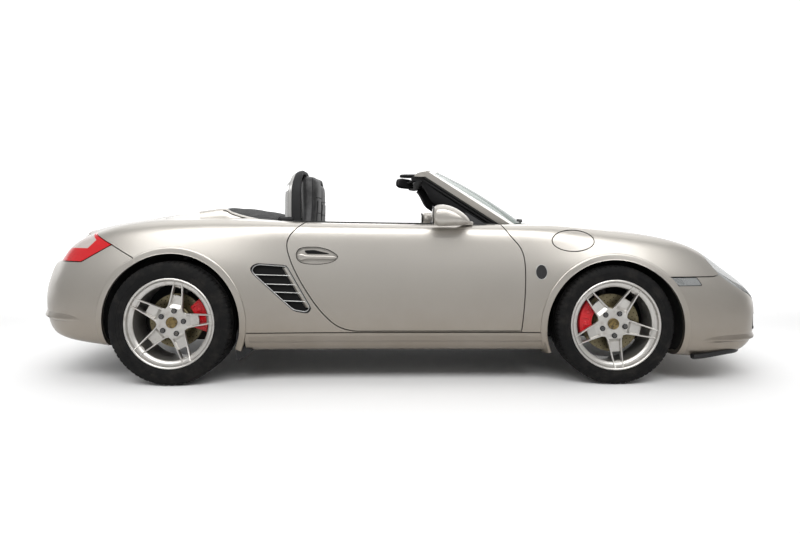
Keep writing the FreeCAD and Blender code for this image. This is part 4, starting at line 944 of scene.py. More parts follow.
def tyre_shape(gear):
    """A tyre: a turned profile of ringed walls, round shoulders and grooves, with blocks cut at the edge."""
    half, radius = gear.tyre_width / 2, gear.tyre_radius
    bead = gear.rim_width / 2 - 0.0005
    wall = [
        (bead - 0.012, 0.2465), (bead, 0.2475), (bead + 0.0015, 0.2505), (half - 0.0035, 0.256),
        (half - 0.0016, 0.2615), (half - 0.0014, 0.2645), (half - 0.0004, 0.2655), (half, 0.271),
        (half, 0.278), (half - 0.0008, 0.2786), (half - 0.0008, 0.284), (half - 0.0001, 0.2846),
        (half - 0.0012, 0.2915), (half - 0.004, radius - 0.0225), (half - 0.008, radius - 0.0125),
        (half - 0.0135, radius - 0.0062), (half - 0.02, radius - 0.0026),
    ]
    tread = []
    for place in (-0.29, -0.1, 0.1, 0.29):
        groove = ((-0.0062, 0), (-0.005, 0.007), (0.005, 0.007), (0.0062, 0))
        tread += [(place * gear.tyre_width + across, radius - deep) for across, deep in groove]
    crown = 0.0014
    tread = [(y, r - crown * (abs(y) / half) ** 3) for y, r in tread]
    profile = np.array([(-y, r) for y, r in wall] + tread + [(y, r) for y, r in reversed(wall)])
    inner = np.array([(bead - 0.014, 0.2468), (-bead + 0.014, 0.2468)])
    profile = np.concatenate([profile, inner])
    steps, steps_per_block = 432, 6
    grid = turned(profile, steps)
    block = ((np.arange(steps) % steps_per_block) < 1)[:, None]
    shoulder = ((np.abs(profile[:, 0]) > 0.3 * gear.tyre_width) & (profile[:, 1] > radius - 0.014))[None]
    sink = np.where(block & shoulder, 0.0045, 0.0)
    scale = 1 - sink / np.maximum(profile[:, 1], 0.1)[None]
    grid[..., 0] *= scale
    grid[..., 2] *= scale
    return Shape().tube(grid, ring=True)


class CAR_OT_wheels(bpy.types.Operator):
    """Builds the four wheels with their bolts, caps and brake discs"""
    bl_idname = "car.wheels"
    bl_label = "Wheels"

    def execute(self, context):
        for axle in ("front", "rear"):
            gear = getattr(context.scene, f"car_{axle}_wheel")
            half = gear.rim_width / 2
            rim = rim_shape(half)
            wells, heads = Shape(), Shape()
            spoke = spoke_parts(half)
            well, head = bolt_shape(half)
            for degrees in range(0, 360, 360 // SPOKES):
                a = math.radians(degrees)
                rim.join(spoke.moved(swung(degrees)))
                place = (BOLT_CIRCLE * math.cos(a), 0, BOLT_CIRCLE * math.sin(a))
                wells.join(well.moved(shift=place))
                heads.join(head.moved(shift=place))
            cap, disc = cap_shape(half), disc_shape(gear)
            for side in SIDES:
                body = f"{side}_{axle}_wheel"
                spin = gear.spoke_angle
                piece = on_wheel(rim, axle, side, spin).make(f"{side}_{axle}_rim", "alloy", body, sharp=28)
                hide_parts(f"{side}_{axle}_wheel")
                # The bolt wells are gloss black as painted shade of the recesses round the bolts.
                for shape, name, material in (
                    (wells, "bolt_wells", "gloss_black"), (heads, "bolts", "cast_metal"),
                    (cap, "cap", "bronze"), (disc, "disc", f"{axle}_rotor"),
                ):
                    on_wheel(shape, axle, side, spin).make(f"{side}_{axle}_{name}", material, body)
        return {"FINISHED"}


class CAR_OT_tyres(bpy.types.Operator):
    """Builds the four tyres with their tread"""
    bl_idname = "car.tyres"
    bl_label = "Tyres"

    def execute(self, context):
        for axle in ("front", "rear"):
            tyre = tyre_shape(getattr(context.scene, f"car_{axle}_wheel"))
            for side in SIDES:
                piece = on_wheel(tyre, axle, side).make(
                    f"{side}_{axle}_tread_tyre", "tyre_rubber", f"{side}_{axle}_wheel", sharp=40
                )
                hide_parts(f"{side}_{axle}_tyre")
        return {"FINISHED"}


def arc(sweep, reach, face, top, rows=40, power=5.0):
    """A block bent round the axle, a superellipse swept between two angles and two radii, on a face."""
    (start, stop), (near, far) = sweep, reach
    a = spread(start, stop, rows)[:, None]
    unit = loop(32, power)[None]
    ends = np.sqrt(np.clip(1 - np.abs(2 * (a - start) / (stop - start) - 1) ** 8, 0.02, 1))
    r = (near + far) / 2 + (far - near) / 2 * unit[..., 0] * ends
    lift = face - 0.006 + (top + 0.006) * (0.5 + 0.5 * unit[..., 1]) * ends
    return Shape().tube(spots(r * np.cos(a), lift, r * np.sin(a)))


class CAR_OT_calipers(bpy.types.Operator):
    """Builds the calipers' outer castings: a rounded body with ribs and piston bosses"""
    bl_idname = "car.calipers"
    bl_label = "Caliper castings"

    def execute(self, context):
        for axle, height, node in (
            ("front", FRONT_HUB, "left_front_caliper"),
            ("rear", REAR_HUB, "rear_calipers"),
        ):
            place = FRONT_AXLE if axle == "front" else REAR_AXLE
            at = np.array([v.co[:] for v in NODES[node].data.vertices])
            at = at[at[:, 1] > 0]
            x, y, z = at[:, 0] - place, at[:, 1], at[:, 2] - height
            reach = np.hypot(x, z)
            outside = reach > 0.1
            middle = math.atan2(z[outside].mean(), x[outside].mean())
            turn = np.angle(np.exp(1j * (np.arctan2(z, x) - middle)))[outside]
            low, high = turn.min() + middle + 0.01, turn.max() + middle - 0.01
            inner, outer, face = 0.112, reach.max() - 0.0015, y.max()
            whole, long = (low, high), high - low
            casting = arc(whole, (inner, outer), face, 0.004)
            casting.join(arc(whole, (outer - 0.012, outer), face, 0.009, power=3.0))
            casting.join(arc(whole, (inner, inner + 0.009), face, 0.008, power=3.0))
            for share in (0.06, 0.47, 0.9):
                rib = (low + long * share, low + long * (share + 0.06))
                casting.join(arc(rib, (inner, outer), face, 0.0085, 10, 3.0))
            boss = lathe([(-0.004, 0), (-0.004, 0.0145), (0.007, 0.0135), (0.009, 0.011), (0.009, 0)], 32)
            for share in (0.27, 0.71):
                a, r = low + long * share, (inner + outer) / 2
                casting.join(boss.moved(shift=(r * math.cos(a), face, r * math.sin(a))))
            for side in SIDES:
                piece = casting.moved(shift=(place, 0, height), mirror=side == "right")
                body = f"{side}_upright" if axle == "front" else "chassis"
                piece.make(f"{side}_{axle}_casting", "caliper_red", body, sharp=40)
        return {"FINISHED"}


# Finishes of the solids

class CAR_OT_finishes(bpy.types.Operator):
    """Gives the carried-over solids their finishes"""
    bl_idname = "car.finishes"
    bl_label = "Finishes of the solids"

    def execute(self, context):
        chosen = {
            "silver_paint": PANELS[:14] + ["windscreen_frame", "right_mirror", "left_mirror"],
            "black_plastic": ["cowl", "dashboard"],
            "clear_lens": ["headlamps"],
            "red_lens": ["tail_lamps"],
            "under_coat": ["body_tub"],
            "green_glass": ["windscreen_glass"],
            "cast_metal": ["rear_axle", "front_axle", "right_knuckle", "left_knuckle", "engine_block"],
            "caliper_red": ["right_front_caliper", "left_front_caliper", "rear_calipers"],
            "leather": ["right_seat", "left_seat", "steering_wheel"],
            "hoop_grey": ["roll_hoops"],
            "satin_metal": ["exhaust"],
            "roof_cloth": ["folded_roof"],
        }
        for name, nodes in chosen.items():
            for node in nodes:
                for slot in NODES[node].material_slots:
                    slot.material = finish(name)
        return {"FINISHED"}


# Cabin, hoops and mirrors

class SeatSizes(bpy.types.PropertyGroup):
    """Sizes and places of the seats"""
    offset: bpy.props.FloatProperty(
        name="Offset", description="Distance of a seat's middle from the car's middle",
        default=0.355, unit="LENGTH",
    )
    setback: bpy.props.FloatProperty(
        name="Driver's setback", description="How far the driver's seat is behind the passenger's",
        default=0.06, unit="LENGTH",
    )
    seam: bpy.props.FloatProperty(
        name="Seam radius", description="Radius of the piped seams",
        default=0.0028, unit="LENGTH",
    )


BACK = [
    (-0.335, 0.32, 0.19, 0.05, 0.0), (-0.375, 0.44, 0.222, 0.06, 0.03), (-0.43, 0.57, 0.236, 0.062, 0.045),
    (-0.5, 0.71, 0.24, 0.056, 0.02), (-0.538, 0.8, 0.222, 0.048, 0.0), (-0.546, 0.88, 0.185, 0.046, 0.0),
    (-0.547, 0.96, 0.152, 0.05, 0.0), (-0.548, 1.03, 0.14, 0.053, 0.0), (-0.549, 1.09, 0.136, 0.054, 0.0),
    (-0.549, 1.132, 0.126, 0.05, 0.0), (-0.548, 1.152, 0.108, 0.04, 0.0), (-0.547, 1.161, 0.08, 0.022, 0.0),
]
CUSHION = [
    (0.105, 0.318, 0.17, 0.02, 0.0), (0.1, 0.32, 0.205, 0.045, 0.0), (0.075, 0.325, 0.222, 0.066, 0.004),
    (0.0, 0.33, 0.232, 0.072, 0.018), (-0.12, 0.326, 0.236, 0.072, 0.036), (-0.25, 0.32, 0.234, 0.07, 0.04),
    (-0.34, 0.32, 0.226, 0.064, 0.028), (-0.385, 0.32, 0.21, 0.05, 0.008), (-0.4, 0.32, 0.17, 0.03, 0.0),
]


class Pad:
    """A pad carried along a spine. A station is (x, z, half width, half depth, bolster height)."""

    def __init__(self, stations, rows, turn_over=1.0, power=3.0):
        self.stations = through(stations, rows)
        self.power = power
        ahead = np.gradient(self.stations[:, :2], axis=0)
        ahead /= np.linalg.norm(ahead, axis=1)[:, None]
        self.front = np.stack([ahead[:, 1], -ahead[:, 0]], -1) * turn_over

    def at(self, share, depth):
        """Points at shares of the half width and of the half depth, row by row."""
        x, z, wide, deep, bolster = self.stations.T[:, :, None]
        lift = deep * depth + bolster * ramp(np.abs(share), 0.42, 0.82) * np.clip(depth * 2, 0, 1)
        return spots(x + self.front[:, :1] * lift, wide * share, z + self.front[:, 1:] * lift)

    def shape(self, columns=112):
        """The closed pad, a superellipse carried along the spine."""
        unit = loop(columns, self.power)
        return Shape().tube(self.at(unit[None, :, 0], unit[None, :, 1]))

    def over(self, share, rows, lift=0.0005):
        """A line along the front at a share of the half width."""
        depth = (1 - abs(share) ** self.power) ** (1 / self.power)
        line = self.at(np.array([[share]]), np.array([[depth]]))[rows, 0]
        line[:, [0, 2]] += self.front[rows] * lift
        return line

    def across(self, row, reach):
        """A line across the front of one row."""
        share = spread(-reach, reach, 40)[None]
        depth = (1 - np.abs(share) ** self.power) ** (1 / self.power)
        return self.at(share, depth)[row] + (self.front[row, 0] * 0.0005, 0, self.front[row, 1] * 0.0005)


class CAR_OT_seats(bpy.types.Operator):
    """Builds the two leather seats: padded back with head restraint, cushion, piped seams, base and rails"""
    bl_idname = "car.seats"
    bl_label = "Seats"

    def execute(self, context):
        sizes = context.scene.car_seat
        back, cushion = Pad(BACK, 120), Pad(CUSHION, 90, -1.0)
        for side, sign in SIDES.items():
            shift = (-sizes.setback if side == "left" else 0.0, sign * sizes.offset, 0.0)
            piece = back.shape().moved(shift=shift).make(f"{side}_seat_back", "leather", sharp=60)
            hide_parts(f"{side}_seat")
            seat = cushion.shape().moved(shift=shift)
            seat.make(f"{side}_seat_cushion", "leather", sharp=60)
            seams = Shape()
            ring = round_section(sizes.seam, 8)
            for share in (-0.6, 0.6):
                seams.tube(carried(back.over(share, np.arange(14, 74)), ring, up=(0, 1, 0)))
                seams.tube(carried(cushion.over(share, np.arange(12, 84)), ring, up=(0, 1, 0)))
            for share in (-0.97, 0.97):
                seams.tube(carried(back.over(share, np.arange(4, 108)), ring, up=(0, 1, 0)))
            for row in (26, 44, 62):
                seams.tube(carried(back.across(row, 0.6), ring))
            seams.tube(carried(back.across(76, 0.8), ring))
            for row in (18, 40, 62):
                seams.tube(carried(cushion.across(row, 0.6), ring, up=(1, 0, 0)))
            seams.moved(shift=shift).make(f"{side}_seat_seams", "soft_black")
            base = rounded((0.4, 0.37, 0.075), (-0.15, 0, 0.243), 8)
            for rail in (-0.15, 0.15):
                base.join(rounded((0.5, 0.035, 0.02), (-0.14, rail, 0.2155), 8))
            for flank in (-0.225, 0.225):
                base.join(rounded((0.36, 0.022, 0.06), (-0.15, flank, 0.262), 5))
            base.moved(shift=shift).make(f"{side}_seat_base", "black_plastic")
        return {"FINISHED"}


class CAR_OT_hoops(bpy.types.Operator):
    """Builds the two roll-over hoops: silver rear edge, grey cover and black front edge"""
    bl_idname = "car.hoops"
    bl_label = "Roll-over hoops"

    def execute(self, context):
        # A soft block of a section is carried round the hoop, then leaned back and down with its depth.
        low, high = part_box("roll_hoops")
        inner, outer, corner = 0.17, high[1] - 0.026, 0.13
        bend = np.linspace(0, np.pi / 2, 24)
        top, foot = high[2] - 0.013, low[2] + 0.002
        right = np.stack([outer - corner + corner * np.cos(bend), top - corner + corner * np.sin(bend)], -1)
        left = np.stack([inner + corner - corner * np.sin(bend), top - corner + corner * np.cos(bend)], -1)
        line = np.concatenate([
            np.stack([np.full(20, outer), spread(foot, top - corner - 0.01, 20)], -1), right,
            left, np.stack([np.full(20, inner), spread(top - corner - 0.01, foot, 20)], -1),
        ])
        path = spots(0.0, line[:, 0], line[:, 1])
        parts = {
            "edge": ("bright_metal", 0.8, 1.0, 0.0145), "cover": ("hoop_grey", 0.58, 0.83, 0.0125),
            "front": ("soft_black", 0.0, 0.62, 0.0135),
        }
        for name, (material, start, stop, thick) in parts.items():
            unit = loop(28, 4.0)
            section = np.stack([unit[:, 0] * thick, (start + stop) / 2 + unit[:, 1] * (stop - start) / 2], -1)
            grid = carried(path, section, up=(1, 0, 0))
            share = np.abs(grid[..., 0])
            height = ramp(grid[..., 2], 0.97, 1.25)
            grid[..., 0] = -0.582 - share * (0.094 - 0.03 * height**2)
            grid[..., 2] -= 0.03 * share**2 * height
            both = Shape().tube(grid)
            both.join(both.moved(mirror=True))
            piece = both.make(f"hoop_{name}", material)
            if name == "edge":
                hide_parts("roll_hoops")
        trim = rounded((0.15, 1.2, 0.05), (-0.65, 0, 0.862), 6, 16, 80)
        trim.make("hoop_plinth", "soft_black", sharp=50)
        clamps = Shape()
        for place in (0.565, 0.165):
            clamps.join(rounded((0.085, 0.05, 0.045), (-0.665, place, 0.892), 4))
            pin = lathe([(-0.012, 0), (-0.012, 0.014), (0.012, 0.014), (0.012, 0)], 20)
            clamps.join(pin.moved(shift=(-0.7, place, 0.9)))
        pair(clamps, "hoop_clamps", "black_plastic")
        return {"FINISHED"}


class CAR_OT_mirrors(bpy.types.Operator):
    """Builds the door mirrors: shell, glass, arm and the black sail plate that carries them"""
    bl_idname = "car.mirrors"
    bl_label = "Door mirrors"

    def execute(self, context):
        # Sections across the car swell and close again. Each is an egg, long ahead and blunt behind.
        ahead_reach, back_reach, over, under, wide = 0.142, 0.065, 0.06, 0.056, 0.178
        across = spread(0, 1, 40)[1:-1][:, None]
        swell = (1 - np.abs(2 * across - 1) ** 2.8) ** (1 / 2.4)
        a = turns(72)[None]
        c, s = np.cos(a), np.sin(a)
        ahead = np.where(c > 0, np.abs(c) * ahead_reach, -(np.abs(c) ** 0.55) * back_reach)
        rise = s * np.where(s > 0, over, under) * (1 - 0.22 * np.maximum(c, 0))
        droop = -0.034 * np.maximum(c, 0) ** 1.8
        grid = spots(
            0.236 + ahead * (0.3 + 0.7 * swell) - 0.012 * (across - 0.3),
            0.806 + wide * across,
            0.915 + (rise + droop) * swell,
        )
        shell = Shape().tube(grid)
        arm_path = through([
            (0.3, 0.85, 0.885), (0.335, 0.82, 0.879), (0.365, 0.797, 0.876), (0.392, 0.782, 0.874),
        ], 20)
        arm = carried(arm_path, loop(28, 2.4) * (0.024, 0.0125))
        shell.tube(arm)
        for piece, side in zip(pair(shell, "mirror_shell", "silver_paint", "{side}_door", sharp=50), SIDES):
            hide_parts(f"{side}_mirror")
        unit = loop(64, 2.6)
        rings = spread(0.05, 1, 10)[:, None]
        face = spots(
            0.1715 + 0.006 * rings**2, 0.893 + 0.068 * rings * unit[:, 0], 0.918 + 0.043 * rings * unit[:, 1],
        )
        glass = Shape().tube(np.concatenate([face, face[::-1] + (0.003, 0, 0)]))
        pair(glass, "mirror_glass", "mirror_glass", "{side}_door")
        edge = spots(0.177, 0.893 + 0.071 * unit[:, 0], 0.918 + 0.0455 * unit[:, 1])
        rim = corded(edge, 0.0034, up=(1, 0, 0))
        pair(rim, "mirror_rim", "black_plastic", "{side}_door")
        corner = np.array([(0.335, 0.858), (0.492, 0.858), (0.485, 0.864), (0.37, 0.936), (0.36, 0.93)])
        reach = 0.775 - 0.25 * (corner[:, 1] - 0.858)
        outer = np.stack([corner[:, 0], reach, corner[:, 1]], -1)
        inner = outer - (0, 0.02, 0)
        sail = Shape().tube(np.stack([outer, inner]))
        pair(sail, "mirror_sail", "black_plastic", "{side}_door", sharp=30)
        return {"FINISHED"}


class CAR_OT_steering(bpy.types.Operator):
    """Builds the steering wheel with three spokes, its hub and column"""
    bl_idname = "car.steering"
    bl_label = "Steering wheel"

    def execute(self, context):
        # A round section is carried round a circle and thickened where the thumbs rest.
        rake = math.radians(24)
        c, s = math.cos(rake), math.sin(rake)
        turn = [[-c, 0, s], [0, -1, 0], [s, 0, c]]
        centre = (0.17, 0.355, 0.73)
        a = turns(144)
        radius = 0.183
        circle = spots(0.0, radius * np.cos(a), radius * np.sin(a))
        lift = np.degrees(np.arctan2(np.sin(a), np.abs(np.cos(a))))
        grip = 1 + 0.12 * np.exp(-((np.abs(lift - 25) / 14) ** 2))
        section = round_section(0.0145, 24)
        grid = carried(circle, section, up=(1, 0, 0), ring=True)
        grid = circle[:, None] + (grid - circle[:, None]) * grip[:, None, None]
        rim = Shape().tube(grid, ring=True)
        hub = rounded((0.05, 0.15, 0.13), (0.004, 0, -0.004), 3.4)
        rim.join(hub)
        wheel = rim.moved(turn, centre).make("steering_rim", "leather", sharp=60)
        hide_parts("steering_wheel")
        spokes = Shape()
        for angle in (178, 2, 270):
            b = math.radians(angle)
            reach = spread(0.05, 0.174, 20)[:, None]
            unit = loop(20, 4.0)[None]
            across = unit[..., 0] * (0.017 + 0.02 * ramp(reach, 0.1, 0.04))
            depth = unit[..., 1] * 0.006 - 0.006 * ramp(reach, 0.16, 0.06) + 0.002
            y = reach * math.cos(b) - across * math.sin(b)
            spokes.tube(spots(depth, y, reach * math.sin(b) + across * math.cos(b)))
        spokes.moved(turn, centre).make("steering_spokes", "satin_metal", sharp=40)
        column = Shape()
        unit = loop(40, 3.0)
        back = spread(-0.2, -0.02, 12)[:, None]
        wide = 0.05 + 0.012 * ramp(back, -0.03, -0.15)
        column.tube(spots(back, wide * unit[:, 0], -0.01 + wide * 1.05 * unit[:, 1]))
        for sign in (-1, 1):
            stalk = [(-0.05, sign * 0.03, 0.0), (-0.05, sign * 0.09, 0.012), (-0.044, sign * 0.15, 0.02)]
            stalk = through(stalk, 16)
            column.tube(carried(stalk, loop(14, 2.4) * (0.0065, 0.005)))
        column.moved(turn, centre).make("steering_column", "black_plastic", sharp=40)
        return {"FINISHED"}


class CAR_OT_dashboard(bpy.types.Operator):
    """Builds the dashboard: padded top, hooded dials, vents, centre stack, console, lever and handbrake"""
    bl_idname = "car.dashboard"
    bl_label = "Dashboard"

    def execute(self, context):
        # One side profile runs across the car, with a dip in the middle and its ends drawn back.
        low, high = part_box("dashboard")
        section = through([
            (0.64, 0.6), (0.645, 0.7), (0.64, 0.8), (0.62, 0.845), (0.56, 0.852), (0.47, 0.846),
            (0.405, 0.828), (0.36, 0.795), (0.338, 0.765), (0.345, 0.735), (0.372, 0.7), (0.385, 0.655),
            (0.38, 0.61), (0.4, 0.575), (0.46, 0.56), (0.56, 0.56), (0.64, 0.6),
        ], 97)[:-1]
        y = spread(-high[1] + 0.004, high[1] - 0.004, 90)[:, None]
        middle = ramp(np.abs(y), 0.19, 0.13)
        lap = ramp(section[:, 1], 0.8, 0.62) * ramp(section[:, 0], 0.5, 0.42)
        dip = 0.035 * middle * lap
        sides = 0.03 * (np.abs(y) / high[1]) ** 4
        x = section[None, :, 0] - dip + sides * ramp(section[None, :, 0], 0.6, 0.36)
        z = section[None, :, 1] - 0.006 * (np.abs(y) / high[1]) ** 2
        panel = Shape().tube(spots(x, y, z))
        piece = panel.make("dash_panel", "soft_black", sharp=50)
        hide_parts("dashboard")
        self.dials()
        self.stack()
        self.vents()
        self.console(low)
        return {"FINISHED"}

    def dials(self):
        """Builds the dials and their hood, a superellipse across that shrinks to nothing at both ends."""
        hood_y = spread(-1, 1, 60)[:, None]
        unit = loop(40, 2.6)[None]
        grow = np.sqrt(np.maximum(1 - np.abs(hood_y) ** 3.2, 0.0004))
        rise = (0.052 * grow - 0.008) * unit[..., 1]
        hood = spots(0.43 + 0.095 * grow * unit[..., 0], 0.355 + 0.165 * hood_y, 0.83 + rise)
        Shape().tube(hood).make("dial_hood", "soft_black", sharp=50)
        dials, rings, uv = Shape(), Shape(), []
        for place, radius in ((0.355, 0.052), (0.262, 0.04), (0.448, 0.04)):
            r = spread(0.02, 1, 12)[:, None]
            a = turns(48)[None]
            c, s = np.cos(a), np.sin(a)
            disc = spots(0.333 + 0.02 * r * s, place - radius * r * c, 0.825 + radius * 0.94 * r * s)
            dials.tube(np.concatenate([disc, disc[::-1] + (0.006, 0, 0)]))
            flat = np.stack([0.5 + 0.47 * r * c, 0.5 + 0.47 * r * s], -1).reshape(-1, 2)
            uv.append(np.concatenate([flat, flat[::-1] * 0 + 0.5, [[0.5, 0.5], [0.5, 0.5]]]))
            edge = spots(0.332 + 0.02 * s[0], place - radius * c[0], 0.825 + radius * 0.94 * s[0])
            rings.join(corded(edge, 0.0026, up=(1, 0, 0)))
        dials.make("dials", "dial_face", uv=np.concatenate(uv))
        rings.make("dial_rings", "bright_metal")

    def stack(self):
        """Builds the centre stack with its screen, knobs and keys."""
        stack = rounded((0.03, 0.2, 0.23), (0.345, 0, 0.675), 7)
        stack.make("centre_stack", "black_plastic")
        knobs = Shape()
        for place in (-0.062, 0.062):
            knob = lathe([(0, 0), (0, 0.013), (-0.014, 0.012), (-0.016, 0.01), (-0.016, 0)], 28, "X")
            knobs.join(knob.moved(shift=(0.331, place, 0.71)))
        for row in range(3):
            for column in range(5):
                place = (0.329, -0.07 + 0.035 * column, 0.64 - 0.024 * row)
                knobs.join(rounded((0.006, 0.026, 0.013), place, 5, 8, 16))
        knobs.make("stack_keys", "soft_black")
        pane = rounded((0.004, 0.15, 0.062), (0.3295, 0, 0.755), 8, 10, 40)
        pane.make("stack_screen", "gloss_black")

    def vents(self):
        """Builds the four air vents and the glove lid."""
        vents, slats = Shape(), Shape()
        for place in (-0.59, -0.05, 0.05, 0.59):
            unit = loop(40, 4.0)
            lean = 0.012 if abs(place) > 0.5 else 0.0
            edge = spots(0.345 + lean, place + 0.045 * unit[:, 0], 0.802 + 0.022 * unit[:, 1])
            vents.join(corded(edge, 0.0035, 8, up=(1, 0, 0)))
            for z in (0.789, 0.798, 0.807, 0.816):
                slats.join(rounded((0.016, 0.084, 0.0025), (0.352 + lean, place, z), 6, 6, 16))
        vents.make("vent_rings", "satin_metal")
        slats.make("vent_slats", "black_plastic")
        box = rounded((0.012, 0.42, 0.12), (0.378, -0.4, 0.66), 8)
        box.make("glove_lid", "soft_black")

    def console(self, low):
        """Builds the console, a soft block carried along stations of (x, half width, top), and its levers."""
        stations = through([
            (-0.56, 0.085, 0.38), (-0.45, 0.09, 0.445), (-0.3, 0.09, 0.452), (-0.16, 0.092, 0.435),
            (-0.1, 0.095, 0.36), (0.0, 0.098, 0.345), (0.15, 0.1, 0.37), (0.27, 0.1, 0.44), (0.36, 0.1, 0.56),
            (0.44, 0.1, 0.6),
        ], 90)
        unit = loop(48, 5.0)
        x, wide, top = stations.T[:, :, None]
        foot = low[2] + 0.001
        narrowed = wide * unit[:, 0] * (1 - 0.12 * (unit[:, 1] + 1) / 2)
        grid = spots(x, narrowed, (top + foot) / 2 + (top - foot) / 2 * unit[:, 1])
        Shape().tube(grid).make("console", "soft_black", sharp=50)
        rounded((0.3, 0.14, 0.04), (-0.38, 0, 0.455), 4).make("arm_rest", "leather", sharp=60)
        boot = lathe([
            (0.345, 0), (0.345, 0.055), (0.362, 0.05), (0.372, 0.04), (0.385, 0.034), (0.395, 0.024),
            (0.42, 0.016), (0.425, 0),
        ], 40, "Z")
        boot.moved(shift=(0.06, 0, 0.012)).make("lever_boot", "leather", sharp=60)
        lever = lathe([
            (0.42, 0), (0.42, 0.007), (0.47, 0.007), (0.48, 0.016), (0.5, 0.023), (0.52, 0.024),
            (0.532, 0.018), (0.536, 0),
        ], 32, "Z")
        lever.moved(shift=(0.06, 0, 0)).make("gear_knob", "satin_metal", sharp=60)
        path = [(-0.2, 0.05, 0.43), (-0.12, 0.05, 0.45), (-0.04, 0.05, 0.468), (0.0, 0.05, 0.474)]
        brake = Shape().tube(carried(through(path, 30), loop(20, 2.4) * (0.013, 0.012)))
        brake.make("handbrake", "leather", sharp=60)


class CAR_OT_screen(bpy.types.Operator):
    """Builds the windscreen's seals, header trims, visors, inner mirror and wipers"""
    bl_idname = "car.screen"
    bl_label = "Windscreen trims"

    def execute(self, context):
        self.pillars()
        self.header()
        self.visors()
        self.inner_mirror()
        self.wipers()
        return {"FINISHED"}

    def pillars(self):
        """Builds the pillars' seals and their lining, profiles that follow the screen's edge."""
        v = spread(0.03, 0.985, 60)
        seals = Shape()
        for deep, inset in ((0.04, 0.006), (0.055, 0.016)):
            path = screen(1.0, v, -deep) - (0, inset, 0)
            seals.tube(carried(path, loop(14, 3.0) * 0.0065, up=(0, 1, 0)))
        pair(seals, "pillar_seals", "seal_rubber")
        grow = 0.058 * ramp(v, 1.0, 0.76) * ramp(v, 0.1, 0.3)
        lining = [screen(0.985, v, -deep - grow * wide) - (0, inset, 0) for deep, inset, wide in (
            (0.062, 0.012, 0.2), (0.074, 0.02, 0.9), (0.084, 0.05, 1.0), (0.074, 0.078, 0.8),
            (0.045, 0.086, 0.0), (0.022, 0.082, 0.0), (0.03, 0.06, 0.0),
        )]
        pair(Shape().tube(np.stack(lining, 1)), "pillar_lining", "soft_black", sharp=50)

    def header(self):
        """Builds the header's lining, painted end caps and seal along the screen's upper edge."""
        u = spread(-0.97, 0.97, 90)
        header = [screen(u, 0.985, -deep) - (back, 0, 0) for deep, back in (
            (0.03, 0.0), (0.026, 0.03), (0.03, 0.062), (0.044, 0.078), (0.062, 0.07), (0.07, 0.03),
            (0.064, -0.01), (0.045, -0.02),
        )]
        Shape().tube(np.stack(header, 1)).make("header_lining", "soft_black", sharp=40)
        caps = Shape()
        for sign in (-1, 1):
            along = sign * spread(0.86, 1.004, 12)
            rows = [screen(along, 0.99, -deep) - (back, 0, 0) for deep, back in (
                (0.0, -0.012), (0.001, 0.01), (0.005, 0.032), (0.014, 0.052), (0.026, 0.062),
                (0.036, 0.056), (0.038, 0.02), (0.036, -0.012),
            )]
            caps.tube(np.stack(rows, 1))
        caps.make("header_caps", "silver_paint", sharp=40)
        path = screen(u, 1.0, -0.026) - (0.006, 0, 0)
        seal = Shape().tube(carried(path, loop(14, 3.0) * (0.007, 0.009)))
        seal.make("header_seal", "seal_rubber")

    def visors(self):
        """Builds the two sun visors, flat soft blocks that hang along the glass."""
        visors = Shape()
        for sign in (-1, 1):
            across = spread(0.12, 0.5, 30)
            unit = loop(36, 6.0)[None]
            place, lower = (screen(sign * across / 0.6, v, -0.058) for v in (0.86, 0.8))
            fall = lower - place
            fall /= np.linalg.norm(fall, axis=1)[:, None]
            thick = np.array((-0.4, 0, -0.9)) * unit[..., 1:] * 0.007
            visors.tube(place[:, None] + fall[:, None] * unit[..., :1] * 0.075 + thick)
        visors.make("sun_visors", "soft_black", sharp=50)

    def inner_mirror(self):
        """Builds the inner mirror on its stem, turned towards the driver, and the cover of its foot."""
        stem = through([(0.17, 0, 1.19), (0.13, 0, 1.178), (0.09, 0, 1.163), (0.05, 0, 1.15)], 16)
        lean = math.radians(-27)
        facing = [[math.cos(lean), -math.sin(lean), 0], [math.sin(lean), math.cos(lean), 0], [0, 0, 1]]
        holder = Shape().tube(carried(stem, loop(16, 3.0) * (0.012, 0.009)))
        holder.join(rounded((0.034, 0.22, 0.066), (0, 0, 0), 4).moved(facing, (0.034, 0, 1.145)))
        holder.join(rounded((0.15, 0.12, 0.022), (0.072, 0, 1.197), 4))
        holder.make("inner_mirror", "black_plastic", sharp=50)
        pane = rounded((0.004, 0.204, 0.055), (-0.0165, 0, 0), 4, 12, 40).moved(facing, (0.034, 0, 1.145))
        pane.make("inner_mirror_glass", "mirror_glass")

    def wipers(self):
        """Builds the two wipers: pivot, bent arm and blade, all along the glass."""
        wipers = Shape()
        for start, stop in ((0.12, -0.52), (0.56, -0.08)):
            foot = screen(np.array([start / SCREEN_HALF]), np.array([0.0]), 0.012)[0] + (0.012, 0, 0.006)
            reach = screen(np.array([(start + stop) / 2 / SCREEN_HALF]), np.array([0.055]), 0.016)[0]
            arm = through([foot, (foot + reach) / 2 + (0.004, 0, 0.008), reach], 24)
            wipers.tube(carried(arm, loop(12, 3.0) * (0.006, 0.004)))
            ends = spread(start, stop, 40)
            blade = screen(ends / SCREEN_HALF, 0.03 + 0.03 * ((ends - start) / (stop - start)), 0.011)
            wipers.tube(carried(blade, loop(10, 3.0) * (0.0035, 0.008)))
            pivot = lathe([(-0.014, 0), (-0.014, 0.014), (0.008, 0.014), (0.013, 0.01), (0.013, 0)], 24, "Z")
            wipers.join(pivot.moved(shift=foot))
        wipers.make("wipers", "black_plastic", sharp=50)


SCREEN_HALF = 0.69


